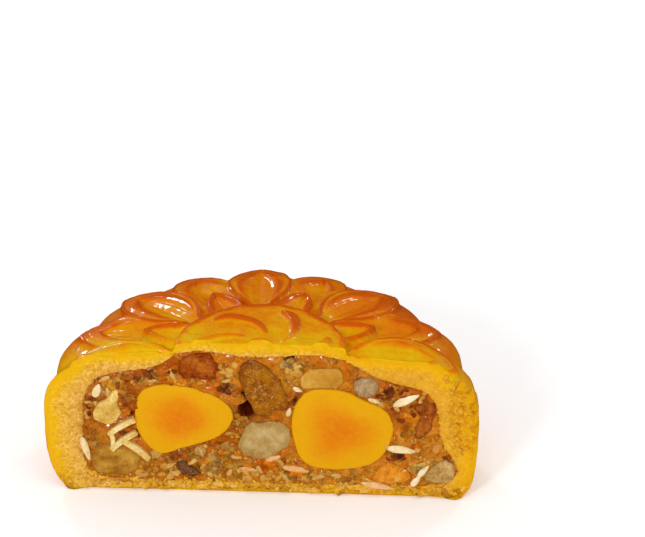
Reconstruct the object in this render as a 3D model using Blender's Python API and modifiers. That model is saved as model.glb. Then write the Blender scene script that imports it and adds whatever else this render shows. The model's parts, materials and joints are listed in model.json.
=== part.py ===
"""Half of a round baked mooncake, cut through its middle and standing on its flat base.

The cut face looks along -Y and the cake lies behind it. The crust is one solid with sixteen
scallops and a top pressed in a petal mould. The nut filling runs through the crust, and the two
salted yolks and the larger sweets that the cut shows are set in pockets of the filling.
"""

import math

import bpy
import numpy as np
from mathutils import Matrix, Vector, noise

MM = 0.001

# The whole cake, before the cut. Heights are from the base, and the axis is x = y = 0.
RADIUS = 42.6 * MM  # to the tops of the scallops, where the side bulges most
BASE_RADIUS = 37.0 * MM
BULGE_HEIGHT = 13.5 * MM
DOME_HEIGHT = 32.2 * MM  # without the pressed pattern
DOME_POWER = 0.20  # how squarely the dome turns down into the side
FOOT_POWER = 2.2  # how squarely the side turns in under the cake
FOOT_TRIM = 0.4 * MM  # what the flat base takes off the turned shape
DEEPER = 1.06  # the cut missed the middle, so that this half is deeper by this factor

# The scallops and the pressed pattern, as shares of RADIUS unless they are in MM.
SCALLOPS = 16
SCALLOP_DEPTH = 0.05
FRONT_PETAL_ANGLE = math.radians(94)  # from +X, of one petal of the upper row
PETAL_STEP = math.radians(45)
MEDALLION = 0.40
EDGE = 0.016  # the width over which one layer steps up to the next

# Each row of petals: tip, widest place, base, half width, level, width of the rolled rim.
BACK_ROW = dict(tip=0.915, widest=0.68, base=0.36, half=0.157, level=0.9 * MM, rim=0.062)
FRONT_ROW = dict(tip=0.915, widest=0.67, base=0.38, half=0.157, level=1.4 * MM, rim=0.062)
INNER_ROW = dict(tip=0.590, widest=0.41, base=0.28, half=0.088, level=1.7 * MM, rim=0.018)
CREASE_DEPTH = 1.5 * MM
MEDALLION_LEVEL = 1.7 * MM

# The ornament on the medallion: a whorl of comma strokes round a boss.
STROKES = 6
STROKE_ANGLE = math.radians(20)  # from +X, of one stroke's inner end
STROKE_TWIST = 4.2  # radians of turn for each unit of radius
STROKE_INNER = 0.11
STROKE_OUTER = 0.30
STROKE_THIN = 0.020
STROKE_THICK = 0.060
STROKE_LEVEL = 0.8 * MM
STROKE_EDGE = 0.03
BOSS = 0.065

# The cake sagged at its right end, where the crust is also torn away beside the cut.
SAG = 3.6 * MM  # how far the foot spreads there
SAG_HEIGHT = 10.0 * MM
TEAR_CENTRE = (43.2 * MM, 0, 19.8 * MM)
TEAR_SIZE = (6.2 * MM, 2.8 * MM, 11.0 * MM)
TEAR_LUMP = 1.0 * MM

# The filling, as turned before its outside is pushed about.
FILLING_RADIUS = 35.0 * MM
FILLING_FLOOR = 2.9 * MM
FILLING_TOP = 30.2 * MM
FILLING_CORNER = 4.0 * MM
FILLING_REACH = 8.0 * MM  # how far behind the cut its top evens out again
RIGHT_FOOT_BULGE = 4.2 * MM  # the filling spreads where the cake sagged
RIGHT_FOOT_HEIGHT = 6.5 * MM
RIGHT_FOOT_SPREAD = 4.5 * MM

# The height of the filling's top along the cut, as points (x from the axis, height) in MM.
FILLING_TOP_AT_CUT = [
    (-34.0, 22.5), (-33.0, 25.2), (-31.0, 26.3), (-28.5, 26.9), (-25.5, 27.2), (-21.5, 28.0),
    (-18.0, 29.2), (-16.5, 31.6), (-12.0, 32.5), (-8.5, 32.2), (-7.0, 30.7), (-2.0, 31.6),
    (1.8, 30.7), (4.7, 31.5), (7.7, 32.0), (12.0, 31.9), (16.0, 31.2), (19.5, 29.0), (22.0, 27.8),
    (23.8, 26.0), (27.4, 25.5), (31.4, 25.0), (33.3, 24.0), (34.3, 22.0),
]

GAP = 0.3 * MM  # between neighbouring solids
FAR = 0.2  # larger than the cake, for cutters
HAIR = 0.02 * MM

CRUST_RINGS = 80
CRUST_STEPS = 256
CRUST_KEPT = 0.18  # share of the pressed surface's triangles that the crust keeps
FILLING_RINGS = 14
FILLING_STEPS = 32
YOLK_SEGMENTS = 32
YOLK_RINGS = 9
SWEET_SEGMENTS = 24
SWEET_RINGS = 5

# Colour, roughness.
CRUST_LOOK = ((0.74, 0.27, 0.008), 0.35)
FILLING_LOOK = ((0.42, 0.16, 0.022), 0.35)
YOLK_LOOK = ((0.76, 0.27, 0.003), 0.45)
MELON_LOOK = ((0.40, 0.20, 0.03), 0.2)
PALE_MELON_LOOK = ((0.51, 0.33, 0.10), 0.2)
FAT_LOOK = ((0.47, 0.27, 0.08), 0.25)
SAUSAGE_LOOK = ((0.38, 0.08, 0.006), 0.3)
NUT_LOOK = ((0.66, 0.42, 0.10), 0.5)
PEEL_LOOK = ((0.66, 0.20, 0.015), 0.3)
RAISIN_LOOK = ((0.12, 0.06, 0.04), 0.4)

# What the cut shows set in the filling: its look, its depth behind the cut, and its outline on
# the cut face, as points (x from the cake's axis, height) in millimetres, joined by a smooth curve.
SET_PIECES = {
    "yolk_left": (YOLK_LOOK, 9.5, [
        (-24.6, 17.9), (-24.2, 21.1), (-22.7, 23.4), (-19.9, 24.4), (-16.4, 24.5), (-13.0, 23.9),
        (-9.7, 22.6), (-6.9, 20.9), (-5.3, 18.5), (-5.7, 15.8), (-8.1, 13.2), (-12.0, 11.4),
        (-16.0, 10.1), (-19.3, 8.7), (-21.5, 9.7), (-23.3, 12.1), (-24.5, 15.0)]),
    "yolk_right": (YOLK_LOOK, 9.5, [
        (9.3, 24.0), (13.4, 24.4), (16.6, 24.0), (18.7, 23.0), (20.7, 21.8), (22.9, 21.0),
        (24.7, 19.6), (25.8, 17.6), (26.0, 15.1), (25.2, 12.1), (23.9, 9.6), (21.5, 7.5),
        (17.5, 6.5), (12.6, 6.3), (9.7, 6.8), (7.9, 8.2), (6.9, 11.0), (6.2, 14.3), (6.1, 17.5),
        (7.0, 21.0)]),
    "candied_melon_upper": (MELON_LOOK, 6.0, [
        (-3.9, 29.6), (-1.8, 30.4), (0.8, 29.4), (3.0, 27.8), (4.7, 24.9), (5.4, 21.5), (5.0, 18.9),
        (3.2, 17.4), (0.8, 17.3), (-1.0, 18.9), (-2.2, 21.9), (-3.4, 24.6), (-4.2, 27.3)]),
    "candied_melon_lower": (PALE_MELON_LOOK, 6.0, [
        (-2.8, 15.8), (-0.3, 16.7), (2.2, 16.4), (4.3, 16.7), (5.3, 15.4), (5.6, 12.6), (4.5, 10.2),
        (2.8, 8.7), (0.2, 8.3), (-2.6, 8.9), (-4.1, 10.9), (-4.1, 13.6)]),
    "sausage_upper_left": (SAUSAGE_LOOK, 5.0, [
        (-15.5, 29.6), (-14.0, 30.8), (-11.0, 31.4), (-9.1, 30.9), (-7.9, 29.2), (-7.4, 27.4),
        (-9.1, 26.1), (-12.0, 26.3), (-15.0, 27.0), (-16.0, 28.3)]),
    "sugared_fat_left": (FAT_LOOK, 6.0, [
        (-33.0, 10.0), (-31.9, 11.9), (-29.8, 11.5), (-27.0, 9.4), (-24.4, 7.2), (-24.2, 5.4),
        (-26.2, 4.2), (-29.6, 4.1), (-31.8, 5.1), (-33.0, 7.2)]),
    "walnut_left": (NUT_LOOK, 4.0, [
        (-32.6, 17.2), (-31.6, 19.5), (-30.4, 21.4), (-29.4, 22.9), (-28.0, 23.4), (-27.1, 21.9),
        (-27.4, 19.9), (-27.4, 17.6), (-28.6, 15.5), (-30.4, 14.8), (-31.9, 15.5)]),
    "cashew_upper_right": (NUT_LOOK, 4.0, [
        (7.7, 26.4), (8.8, 28.3), (11.4, 29.0), (14.9, 29.0), (16.2, 27.2), (15.6, 25.5),
        (12.0, 25.1), (8.6, 25.2)]),
    "sugared_fat_upper_right": (FAT_LOOK, 3.5, [
        (18.1, 25.2), (19.5, 26.7), (21.4, 26.7), (22.6, 25.5), (22.6, 23.8), (21.2, 22.8),
        (19.4, 23.6)]),
    "candied_date_right": (SAUSAGE_LOOK, 4.5, [
        (29.2, 20.6), (31.0, 21.6), (33.0, 21.0), (33.8, 19.0), (33.8, 16.8), (33.2, 14.4),
        (32.2, 13.8), (31.0, 15.4), (30.5, 17.6), (29.4, 19.2)]),
    "candied_peel_lower_right": (PEEL_LOOK, 4.0, [
        (22.2, 5.0), (23.6, 6.8), (26.0, 7.9), (28.2, 7.4), (29.0, 5.8), (28.0, 4.5), (25.4, 4.1),
        (23.0, 4.2)]),
    "sugared_fat_lower_right": (FAT_LOOK, 4.5, [
        (32.8, 6.5), (34.0, 8.1), (35.5, 8.7), (36.8, 7.9), (37.4, 6.6), (36.6, 5.4), (35.2, 4.8),
        (33.6, 4.5), (32.7, 5.2)]),
    "raisin_lower_left": (RAISIN_LOOK, 3.0, [
        (-16.6, 6.9), (-15.8, 8.0), (-14.6, 6.9), (-12.9, 5.6), (-11.9, 4.8), (-12.8, 4.2),
        (-14.8, 4.1), (-16.2, 4.8)]),
}


def clear_scene():
    for obj in list(bpy.data.objects):
        bpy.data.objects.remove(obj)


def new_collection(name):
    collection = bpy.data.collections.new(name)
    bpy.context.scene.collection.children.link(collection)
    return collection


def material(name, look):
    """A Principled material of that colour and roughness."""
    colour, roughness = look
    made = bpy.data.materials.new(name)
    made.use_nodes = True
    shader = made.node_tree.nodes["Principled BSDF"]
    shader.inputs["Base Color"].default_value = (*colour, 1)
    shader.inputs["Roughness"].default_value = roughness
    return made


def smooth_step(low, high, value):
    share = np.clip((value - low) / (high - low), 0, 1)
    return share * share * (3 - 2 * share)


def vertices_of(mesh):
    points = np.empty(len(mesh.vertices) * 3)
    mesh.vertices.foreach_get("co", points)
    return points.reshape(-1, 3)


def move_vertices(mesh, points):
    mesh.vertices.foreach_set("co", points.ravel())
    mesh.update()


# --- The pressed pattern ---------------------------------------------------------------------


def leaf_inside(along, across, tip, widest, base, half):
    """How far a point lies inside a leaf of two arcs, which meet at its tip and at its base."""
    length = np.where(along > widest, tip - widest, widest - base)
    arc = (length**2 + half**2) / (2 * half)
    return arc - np.hypot(along - widest, np.abs(across) + arc - half)


def leaf_half_width(along, tip, widest, base, half):
    length = np.where(along > widest, tip - widest, widest - base)
    arc = (length**2 + half**2) / (2 * half)
    return np.sqrt(np.maximum(arc**2 - (along - widest) ** 2, 0)) - (arc - half)


def along_and_across(share, angle, axis_angle, step):
    """A point's place on the nearest of the axes that lie a step apart round the cake."""
    off = (angle - axis_angle + step / 2) % step - step / 2
    return share * np.cos(off), share * np.sin(off)


def petal_row(share, angle, axis_angle, row):
    """(how far inside a petal, height there) for a row of petals with a creased middle."""
    shape = {key: row[key] for key in ("tip", "widest", "base", "half")}
    along, across = along_and_across(share, angle, axis_angle, PETAL_STEP)
    inside = leaf_inside(along, across, **shape)
    rim = row["rim"]
    hollow_width = leaf_half_width(
        along, row["tip"] - 2 * rim, row["widest"] - rim, row["base"] - rim, row["half"] - rim
    )
    towards_crease = np.clip(1 - np.abs(across) / np.maximum(hollow_width, 1e-4), 0, 1)
    towards_crease = np.where(hollow_width > 0, towards_crease, 0)
    deeper_inwards = 1.15 - 0.5 * smooth_step(row["base"], row["tip"], along)
    rim_line = 0.3 * MM * np.exp(-(((inside - rim / 2) / (rim / 5)) ** 2))
    height = row["level"] - rim_line - CREASE_DEPTH * deeper_inwards * towards_crease
    return inside, height


def ornament(share, angle):
    """Height of the whorl of strokes and its boss above the medallion."""
    turned = angle - STROKE_TWIST * (share - STROKE_INNER)
    _, across = along_and_across(share, turned, STROKE_ANGLE, 2 * math.pi / STROKES)
    along = np.clip((share - STROKE_INNER) / (STROKE_OUTER - STROKE_INNER), 0, 1)
    half = STROKE_THIN + (STROKE_THICK - STROKE_THIN) * along
    past_end = np.maximum(STROKE_INNER - share, share - STROKE_OUTER).clip(0)
    inside = half - np.hypot(across, past_end * 2)
    stroke = smooth_step(0, STROKE_EDGE, inside)
    boss = smooth_step(0, STROKE_EDGE, BOSS - share)
    return STROKE_LEVEL * np.maximum(stroke, boss)


def pressed_height(share, angle):
    """Height of the pressed pattern above the plain dome, each layer lying over the one before."""
    height = np.zeros_like(share)
    rows = [
        petal_row(share, angle, FRONT_PETAL_ANGLE + PETAL_STEP / 2, BACK_ROW),
        petal_row(share, angle, FRONT_PETAL_ANGLE, FRONT_ROW),
        petal_row(share, angle, FRONT_PETAL_ANGLE + PETAL_STEP / 2, INNER_ROW),
        (MEDALLION - share, MEDALLION_LEVEL + ornament(share, angle)),
    ]
    for inside, layer in rows:
        cover = smooth_step(0, EDGE, inside)
        height = height * (1 - cover) + layer * cover
    return height


def press_and_scallop(points):
    """Turned cake to moulded cake: the pattern on top, and the scallops round the side."""
    x, y, z = points.T
    share = np.hypot(x, y) / RADIUS
    angle = np.arctan2(y, x)
    lobe = np.abs(np.cos((angle - FRONT_PETAL_ANGLE) * SCALLOPS / 2)) ** 0.85
    outward = smooth_step(0.70, 0.99, share)
    upward = 0.35 + 0.65 * smooth_step(0, 0.6 * DOME_HEIGHT, z)
    narrowing = 1 - SCALLOP_DEPTH * (1 - lobe) * outward * upward
    on_top = smooth_step(BULGE_HEIGHT, BULGE_HEIGHT + 6 * MM, z)
    height = z + pressed_height(share, angle) * on_top
    rightward = smooth_step(0.8, 1, np.cos(angle)) * smooth_step(0, 1, x / BASE_RADIUS)
    sag = SAG * rightward * (1 - smooth_step(0, SAG_HEIGHT, z))
    return np.column_stack([x * narrowing + sag, y * narrowing * DEEPER, height])


# --- Turned shapes ---------------------------------------------------------------------------


def turned(name, profile, steps):
    """A closed mesh, turned from a profile at +X that runs from the top of its axis to the foot."""
    mesh = bpy.data.meshes.new(name + "_profile")
    count = len(profile)
    mesh.from_pydata([(r, 0, z) for r, z in profile], [(i, i + 1) for i in range(count - 1)], [])
    spun = bpy.data.objects.new(name + "_profile", mesh)
    bpy.context.scene.collection.objects.link(spun)
    screw = spun.modifiers.new("turn", "SCREW")
    screw.steps = screw.render_steps = steps
    screw.use_merge_vertices = True
    screw.merge_threshold = 0.00001
    bpy.context.view_layer.update()
    made = bpy.data.meshes.new_from_object(spun.evaluated_get(bpy.context.evaluated_depsgraph_get()))
    bpy.data.objects.remove(spun)
    # Half a step's turn and a hair's shift leave no edge and no pole in the plane of the cut.
    made.transform(Matrix.Rotation(math.pi / steps, 4, "Z"))
    made.transform(Matrix.Translation((0, HAIR, 0)))
    return made


def crust_profile():
    """The cake's outside: a dome that turns down into the side, and a rounded foot."""
    dome_rings = int(CRUST_RINGS * 0.70)
    turn = np.linspace(0, math.pi / 2, dome_rings)
    blend = 0.25  # evens out the rings between the flat of the dome and its steep edge
    r = (1 - blend) * np.sin(turn) + blend * turn / (math.pi / 2)
    z = BULGE_HEIGHT + (DOME_HEIGHT - BULGE_HEIGHT) * (1 - r**2).clip(0) ** DOME_POWER
    dome = [(RADIUS * a, b) for a, b in zip(r, z)]
    down = np.linspace(0, 1, CRUST_RINGS - dome_rings)[1:]
    flare = (1 - down**FOOT_POWER).clip(0) ** (1 / FOOT_POWER)
    foot = [
        (BASE_RADIUS + (RADIUS - BASE_RADIUS) * f, BULGE_HEIGHT - (BULGE_HEIGHT + FOOT_TRIM) * d)
        for f, d in zip(flare, down)
    ]
    return [*dome, *foot, (0, -FOOT_TRIM)]


def plain_filling_height(share):
    return BULGE_HEIGHT + (FILLING_TOP - BULGE_HEIGHT) * (1 - share**3).clip(0) ** 0.3


def filling_profile():
    share = np.sin(np.linspace(0, math.pi / 2, FILLING_RINGS))
    dome = [(FILLING_RADIUS * a, b) for a, b in zip(share, plain_filling_height(share))]
    low = FILLING_FLOOR + FILLING_CORNER
    wall = [(FILLING_RADIUS, z) for z in np.linspace(BULGE_HEIGHT, low, 4)[1:-1]]
    corner = [
        (FILLING_RADIUS - FILLING_CORNER * (1 - math.cos(t)), low - FILLING_CORNER * math.sin(t))
        for t in np.linspace(0, math.pi / 2, 5)
    ]
    return [*dome, *wall, *corner, (0, FILLING_FLOOR)]


def push_filling(points):
    """The turned filling as it lies: its top uneven by the cut, and its right foot spread."""
    x, y, z = points.T
    r = np.hypot(x, y)
    plain = plain_filling_height((np.abs(x) / FILLING_RADIUS).clip(0, 1))
    known = np.array(FILLING_TOP_AT_CUT) * MM
    uneven = np.interp(x, known[:, 0], known[:, 1]) - plain
    upper = smooth_step(BULGE_HEIGHT, 0.7 * FILLING_TOP, z)
    near_cut = np.exp(-((y / FILLING_REACH) ** 2))
    rightward = smooth_step(0.8, 1, x / np.maximum(r, MM)) * smooth_step(0.8, 1, r / FILLING_RADIUS)
    bulge = RIGHT_FOOT_BULGE * np.exp(-(((z - RIGHT_FOOT_HEIGHT) / RIGHT_FOOT_SPREAD) ** 2))
    wider = 1 + bulge * rightward / FILLING_RADIUS
    return np.column_stack([x * wider, y * wider, z + uneven * upper * near_cut])


def filling_mesh(name, inset):
    mesh = turned(name, filling_profile(), FILLING_STEPS)
    move_vertices(mesh, push_filling(vertices_of(mesh)))
    normals = np.array([vertex.normal for vertex in mesh.vertices])
    move_vertices(mesh, vertices_of(mesh) - normals * inset)
    return mesh


# --- The pieces set in the filling -----------------------------------------------------------


def outline_reach(outline, centre, angles):
    """How far the smooth closed curve through the outline's points lies from its centre."""
    points = np.array(outline) * MM - centre
    at = np.arctan2(points[:, 1], points[:, 0])
    order = np.argsort(at)
    at, reach = at[order], np.hypot(*points[order].T)
    at = np.concatenate([at[-2:] - 2 * math.pi, at, at[:2] + 2 * math.pi])
    reach = np.concatenate([reach[-2:], reach, reach[:2]])
    i = np.clip(np.searchsorted(at, angles, side="right") - 1, 1, len(at) - 3)
    t = (angles - at[i]) / (at[i + 1] - at[i])
    step = at[i + 1] - at[i]
    slope_here = (reach[i + 1] - reach[i - 1]) / (at[i + 1] - at[i - 1]) * step
    slope_next = (reach[i + 2] - reach[i]) / (at[i + 2] - at[i]) * step
    return (
        (2 * t**3 - 3 * t**2 + 1) * reach[i]
        + (t**3 - 2 * t**2 + t) * slope_here
        + (3 * t**2 - 2 * t**3) * reach[i + 1]
        + (t**3 - t**2) * slope_next
    )


def mesh_of_new_object(name):
    """Takes the mesh of the primitive that was just added, without its object."""
    added = bpy.context.object
    mesh = added.data
    mesh.name = name
    bpy.data.objects.remove(added)
    return mesh


def set_piece_mesh(name, outline, depth, grown):
    """A rounded lump of that outline at the cut, which reaches both ways from the cut plane."""
    yolk = name.startswith("yolk")
    bpy.ops.mesh.primitive_uv_sphere_add(
        segments=YOLK_SEGMENTS if yolk else SWEET_SEGMENTS,
        ring_count=YOLK_RINGS if yolk else SWEET_RINGS,
        rotation=(math.pi / 2, 0, 0),
    )
    bpy.ops.object.transform_apply(rotation=True)
    mesh = mesh_of_new_object(name)
    centre = np.mean(np.array(outline), axis=0) * MM
    x, y, z = vertices_of(mesh).T
    reach = outline_reach(outline, centre, np.arctan2(z, x)) + grown
    flat = np.hypot(x, z).clip(1e-6)
    blunt = (flat / flat.max()) ** 0.8  # keeps the lump full behind the cut
    points = np.column_stack([
        centre[0] + reach * blunt * x / flat,
        y * (depth * MM + grown),
        centre[1] + reach * blunt * z / flat,
    ])
    move_vertices(mesh, points)
    return mesh


def tear_mesh(name):
    """A lumpy blob: what is torn out of the crust at the right end of the cut."""
    bpy.ops.mesh.primitive_ico_sphere_add(subdivisions=3, radius=1)
    mesh = mesh_of_new_object(name)
    directions = vertices_of(mesh)
    size, centre = np.array(TEAR_SIZE), np.array(TEAR_CENTRE)
    boxy = directions / np.abs(directions).max(axis=1, keepdims=True) ** 0.45
    lumps = np.array([noise.noise(Vector(centre / MM + d * 3.1)) for d in directions])
    move_vertices(mesh, centre + boxy * size + directions * TEAR_LUMP * lumps[:, None])
    return mesh


# --- Objects ---------------------------------------------------------------------------------


def place(name, mesh, collection, look=None):
    made = bpy.data.objects.new(name, mesh)
    collection.objects.link(made)
    if look:
        mesh.materials.clear()
        mesh.materials.append(look)
    return made


def cutter(name, mesh, collection):
    made = place(name, mesh, collection)
    made.hide_render = True
    made.display_type = "WIRE"
    return made


def box_mesh(name, low, high):
    """A box between two corners."""
    bpy.ops.mesh.primitive_cube_add(size=1)
    mesh = mesh_of_new_object(name)
    low, high = np.array(low), np.array(high)
    move_vertices(mesh, (low + high) / 2 + vertices_of(mesh) * (high - low))
    return mesh


def cut_away(obj, tool):
    cut = obj.modifiers.new("less_" + tool.name, "BOOLEAN")
    cut.operation = "DIFFERENCE"
    cut.solver = "EXACT"
    cut.object = tool


def rounded_look(mesh):
    mesh.shade_smooth()
    mesh.set_sharp_from_angle(angle=math.radians(40))


def bounds(objects):
    """Lowest and highest corner of what the objects' modifiers leave."""
    graph = bpy.context.evaluated_depsgraph_get()
    corners = [
        obj.matrix_world @ vertex.co
        for obj in objects
        for vertex in obj.evaluated_get(graph).data.vertices
    ]
    return np.min(corners, axis=0), np.max(corners, axis=0)


def build():
    clear_scene()
    cake = new_collection("half_mooncake")
    tools = new_collection("cutters")

    front = cutter("front_half", box_mesh("front_half", (-FAR, -FAR, -FAR), (FAR, 0, FAR)), tools)
    floor = cutter("below_base", box_mesh("below_base", (-FAR, -FAR, -FAR), (FAR, FAR, 0)), tools)
    hollow = cutter("hollow", filling_mesh("hollow", 0), tools)

    crust_mesh = turned("crust", crust_profile(), CRUST_STEPS)
    move_vertices(crust_mesh, press_and_scallop(vertices_of(crust_mesh)))
    rounded_look(crust_mesh)
    crust = place("crust", crust_mesh, cake, material("baked_crust", CRUST_LOOK))
    fewer = crust.modifiers.new("fewer_triangles", "DECIMATE")
    fewer.ratio = CRUST_KEPT
    tear = cutter("tear", tear_mesh("tear"), tools)
    for tool in (floor, front, hollow, tear):
        cut_away(crust, tool)

    filling = place(
        "filling", filling_mesh("filling", GAP), cake, material("nut_filling", FILLING_LOOK)
    )
    cut_away(filling, front)

    parts = [crust, filling]
    for name, (look, depth, outline) in SET_PIECES.items():
        mesh = set_piece_mesh(name, outline, depth, 0)
        rounded_look(mesh)
        piece = place(name, mesh, cake, material(name + "_look", look))
        cut_away(piece, front)
        pocket_mesh = set_piece_mesh(name + "_pocket", outline, depth, GAP)
        cut_away(filling, cutter(name + "_pocket", pocket_mesh, tools))
        parts.append(piece)

    # The origin is the middle of the underside, so everything moves there together.
    low, high = bounds([crust])
    middle = ((low[0] + high[0]) / 2, (low[1] + high[1]) / 2, 0)
    for obj in [*parts, *tools.objects]:
        obj.location = (-middle[0], -middle[1], 0)


build()
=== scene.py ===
"""The looks of half a baked mooncake, which stands on its flat base with its cut face in front.

Lengths are in metres. Shapes are worked out in the cake's own frame, where the cake's axis is
x = y = 0, its base is z = 0 and the cut is y = 0 with the cake behind it, and settle() then puts
them where the solids are.
"""

import json
import math
import random

import bmesh
import bpy
import numpy as np
from mathutils import Euler, Matrix, Vector, noise


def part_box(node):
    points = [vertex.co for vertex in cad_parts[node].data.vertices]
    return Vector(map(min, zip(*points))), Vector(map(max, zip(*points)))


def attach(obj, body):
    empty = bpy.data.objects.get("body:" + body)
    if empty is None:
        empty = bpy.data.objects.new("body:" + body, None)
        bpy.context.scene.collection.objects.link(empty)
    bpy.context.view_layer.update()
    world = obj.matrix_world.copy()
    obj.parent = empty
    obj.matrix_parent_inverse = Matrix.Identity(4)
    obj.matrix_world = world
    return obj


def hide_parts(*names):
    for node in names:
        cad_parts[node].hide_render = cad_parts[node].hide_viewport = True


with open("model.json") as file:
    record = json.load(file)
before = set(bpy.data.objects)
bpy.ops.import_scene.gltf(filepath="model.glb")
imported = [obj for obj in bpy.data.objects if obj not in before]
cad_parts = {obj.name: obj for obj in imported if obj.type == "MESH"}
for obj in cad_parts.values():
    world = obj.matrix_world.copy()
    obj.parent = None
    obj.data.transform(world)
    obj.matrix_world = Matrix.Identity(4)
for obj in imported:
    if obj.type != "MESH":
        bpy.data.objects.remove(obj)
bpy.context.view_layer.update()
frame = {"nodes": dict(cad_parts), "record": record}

MM = 0.001
AXIS_X = -0.70 * MM  # the cake's axis in the frame of the solids
CUT_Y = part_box("crust")[0][1]

# The cake, as its solids have it.
RADIUS = 42.6 * MM
BASE_RADIUS = 37.0 * MM
BULGE_HEIGHT = 13.5 * MM
DOME_HEIGHT = 32.2 * MM
DOME_POWER = 0.20
FOOT_POWER = 2.2
SCALLOPS = 16
SCALLOP_DEPTH = 0.05
FRONT_PETAL_ANGLE = math.radians(94)
PETAL_STEP = math.radians(45)
MEDALLION = 0.40
EDGE = 0.014
BACK_ROW = dict(tip=0.915, widest=0.68, base=0.36, half=0.157, level=0.9 * MM, rim=0.062)
FRONT_ROW = dict(tip=0.915, widest=0.67, base=0.38, half=0.157, level=1.4 * MM, rim=0.062)
INNER_ROW = dict(tip=0.590, widest=0.41, base=0.28, half=0.088, level=1.7 * MM, rim=0.018)
CREASE_DEPTH = 1.5 * MM
MEDALLION_LEVEL = 1.7 * MM
STROKES = 6
STROKE_ANGLE = math.radians(20)
STROKE_TWIST = 4.2
STROKE_INNER = 0.11
STROKE_OUTER = 0.30
STROKE_THIN = 0.020
STROKE_THICK = 0.060
STROKE_LEVEL = 0.8 * MM
STROKE_EDGE = 0.03
BOSS = 0.065
DEEPER = 1.06
SAG = 0.9 * MM
SAG_HEIGHT = 10.0 * MM
TEAR_CENTRE = (43.2 * MM, 19.8 * MM)
TEAR_SIZE = (6.2 * MM, 2.8 * MM, 11.0 * MM)

# How finely the crust is made here.
DOME_STEP = 0.36 * MM
SIDE_STEP = 0.50 * MM
TURN_STEPS = 340
BASE_POINTS = 64  # along each half of the cut's lower edge
FACE_ROWS = 18
HOLLOW_ROWS = 7
ROUNDING = 0.8 * MM  # of the edge between skin and cut
MIDDLE_HEIGHT = 15.5 * MM  # the cut's outlines are told by their reach from here


# --- Small helpers ---------------------------------------------------------------------------


def smooth_step(low, high, value):
    share = np.clip((value - low) / (high - low), 0, 1)
    return share * share * (3 - 2 * share)


def hump(centre, width, value):
    return np.exp(-(((value - centre) / width) ** 2))


def wobble(points, size, seed=0.0):
    """Smooth noise from about -1 to 1 at each point, with bumps of that size."""
    places = np.asarray(points, dtype=float) / size + seed
    return np.array([noise.noise(place) for place in places.tolist()])


def vertices_of(mesh):
    points = np.empty(len(mesh.vertices) * 3)
    mesh.vertices.foreach_get("co", points)
    return points.reshape(-1, 3)


def normals_of(mesh):
    normals = np.empty(len(mesh.vertices) * 3)
    mesh.vertices.foreach_get("normal", normals)
    return normals.reshape(-1, 3)


def move_vertices(mesh, points):
    mesh.vertices.foreach_set("co", np.asarray(points, dtype=float).ravel())
    mesh.update()


def keep_values(mesh, name, values):
    """Stores one value for each vertex, which a material reads by that name."""
    made = mesh.attributes.new(name, "FLOAT", "POINT")
    made.data.foreach_set("value", np.asarray(values, dtype=float))


def keep_colours(mesh, name, colours):
    made = mesh.attributes.new(name, "FLOAT_COLOR", "POINT")
    full = np.column_stack([colours, np.ones(len(colours))])
    made.data.foreach_set("color", full.ravel())


def edit(obj):
    """Opens the object alone in edit mode, with nothing selected in it."""
    bpy.ops.object.select_all(action="DESELECT")
    bpy.context.view_layer.objects.active = obj
    obj.select_set(True)
    bpy.ops.object.mode_set(mode="EDIT")
    bpy.ops.mesh.select_all(action="DESELECT")


def done():
    bpy.ops.object.mode_set(mode="OBJECT")


def select_vertices(mesh, chosen):
    """Selects just those vertices, from object mode."""
    mesh.vertices.foreach_set("select", np.asarray(chosen, dtype=bool))


def named(name):
    obj = bpy.context.object
    obj.name = obj.data.name = name
    return obj


def ring_of(name, first_row, rows):
    """A ring that is extruded row by row. Returns it with each vertex's station and row."""
    count = len(first_row)
    bpy.ops.object.select_all(action="DESELECT")
    bpy.ops.mesh.primitive_circle_add(vertices=count, radius=MM)
    ring = named(name)
    mesh = ring.data
    move_vertices(mesh, first_row)
    keep_values(mesh, "station", np.arange(count))
    bpy.ops.object.mode_set(mode="EDIT")
    bpy.ops.mesh.select_all(action="SELECT")
    station, row_of = np.arange(count), np.zeros(count, dtype=int)
    for number, row in enumerate(rows, 1):
        bpy.ops.object.mode_set(mode="EDIT")
        bpy.ops.mesh.extrude_region_move()
        done()
        total = len(mesh.vertices)
        chosen = np.empty(total, dtype=bool)
        mesh.vertices.foreach_get("select", chosen)
        station = np.empty(total)
        mesh.attributes["station"].data.foreach_get("value", station)
        station = station.round().astype(int)
        row_of = np.concatenate([row_of, np.full(total - len(row_of), number)])
        points = vertices_of(mesh)
        points[chosen] = row[station[chosen]]
        move_vertices(mesh, points)
    mesh.attributes.remove(mesh.attributes["station"])
    return ring, station, row_of


def join(kept, *others):
    bpy.ops.object.select_all(action="DESELECT")
    for obj in others:
        obj.select_set(True)
    kept.select_set(True)
    bpy.context.view_layer.objects.active = kept
    bpy.ops.object.join()
    return kept


def face_outwards(obj):
    edit(obj)
    bpy.ops.mesh.select_all(action="SELECT")
    bpy.ops.mesh.normals_make_consistent(inside=False)
    done()
    work = bmesh.new()
    work.from_mesh(obj.data)
    inside_out = work.calc_volume(signed=True) < 0
    work.free()
    if inside_out:
        edit(obj)
        bpy.ops.mesh.select_all(action="SELECT")
        bpy.ops.mesh.flip_normals()
        done()


def merge_and_face_outwards(obj, distance=0.0005 * MM):
    edit(obj)
    bpy.ops.mesh.select_all(action="SELECT")
    bpy.ops.mesh.remove_doubles(threshold=distance)
    done()
    face_outwards(obj)


def smooth_shading(obj, angle=180):
    bpy.ops.object.select_all(action="DESELECT")
    bpy.context.view_layer.objects.active = obj
    obj.select_set(True)
    if angle >= 180:
        bpy.ops.object.shade_smooth()
    else:
        bpy.ops.object.shade_smooth_by_angle(angle=math.radians(angle))


def settle(obj):
    """Moves a shape from the cake's own frame to the frame of the solids."""
    obj.data.transform(Matrix.Translation((AXIS_X, CUT_Y, 0)))


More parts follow.
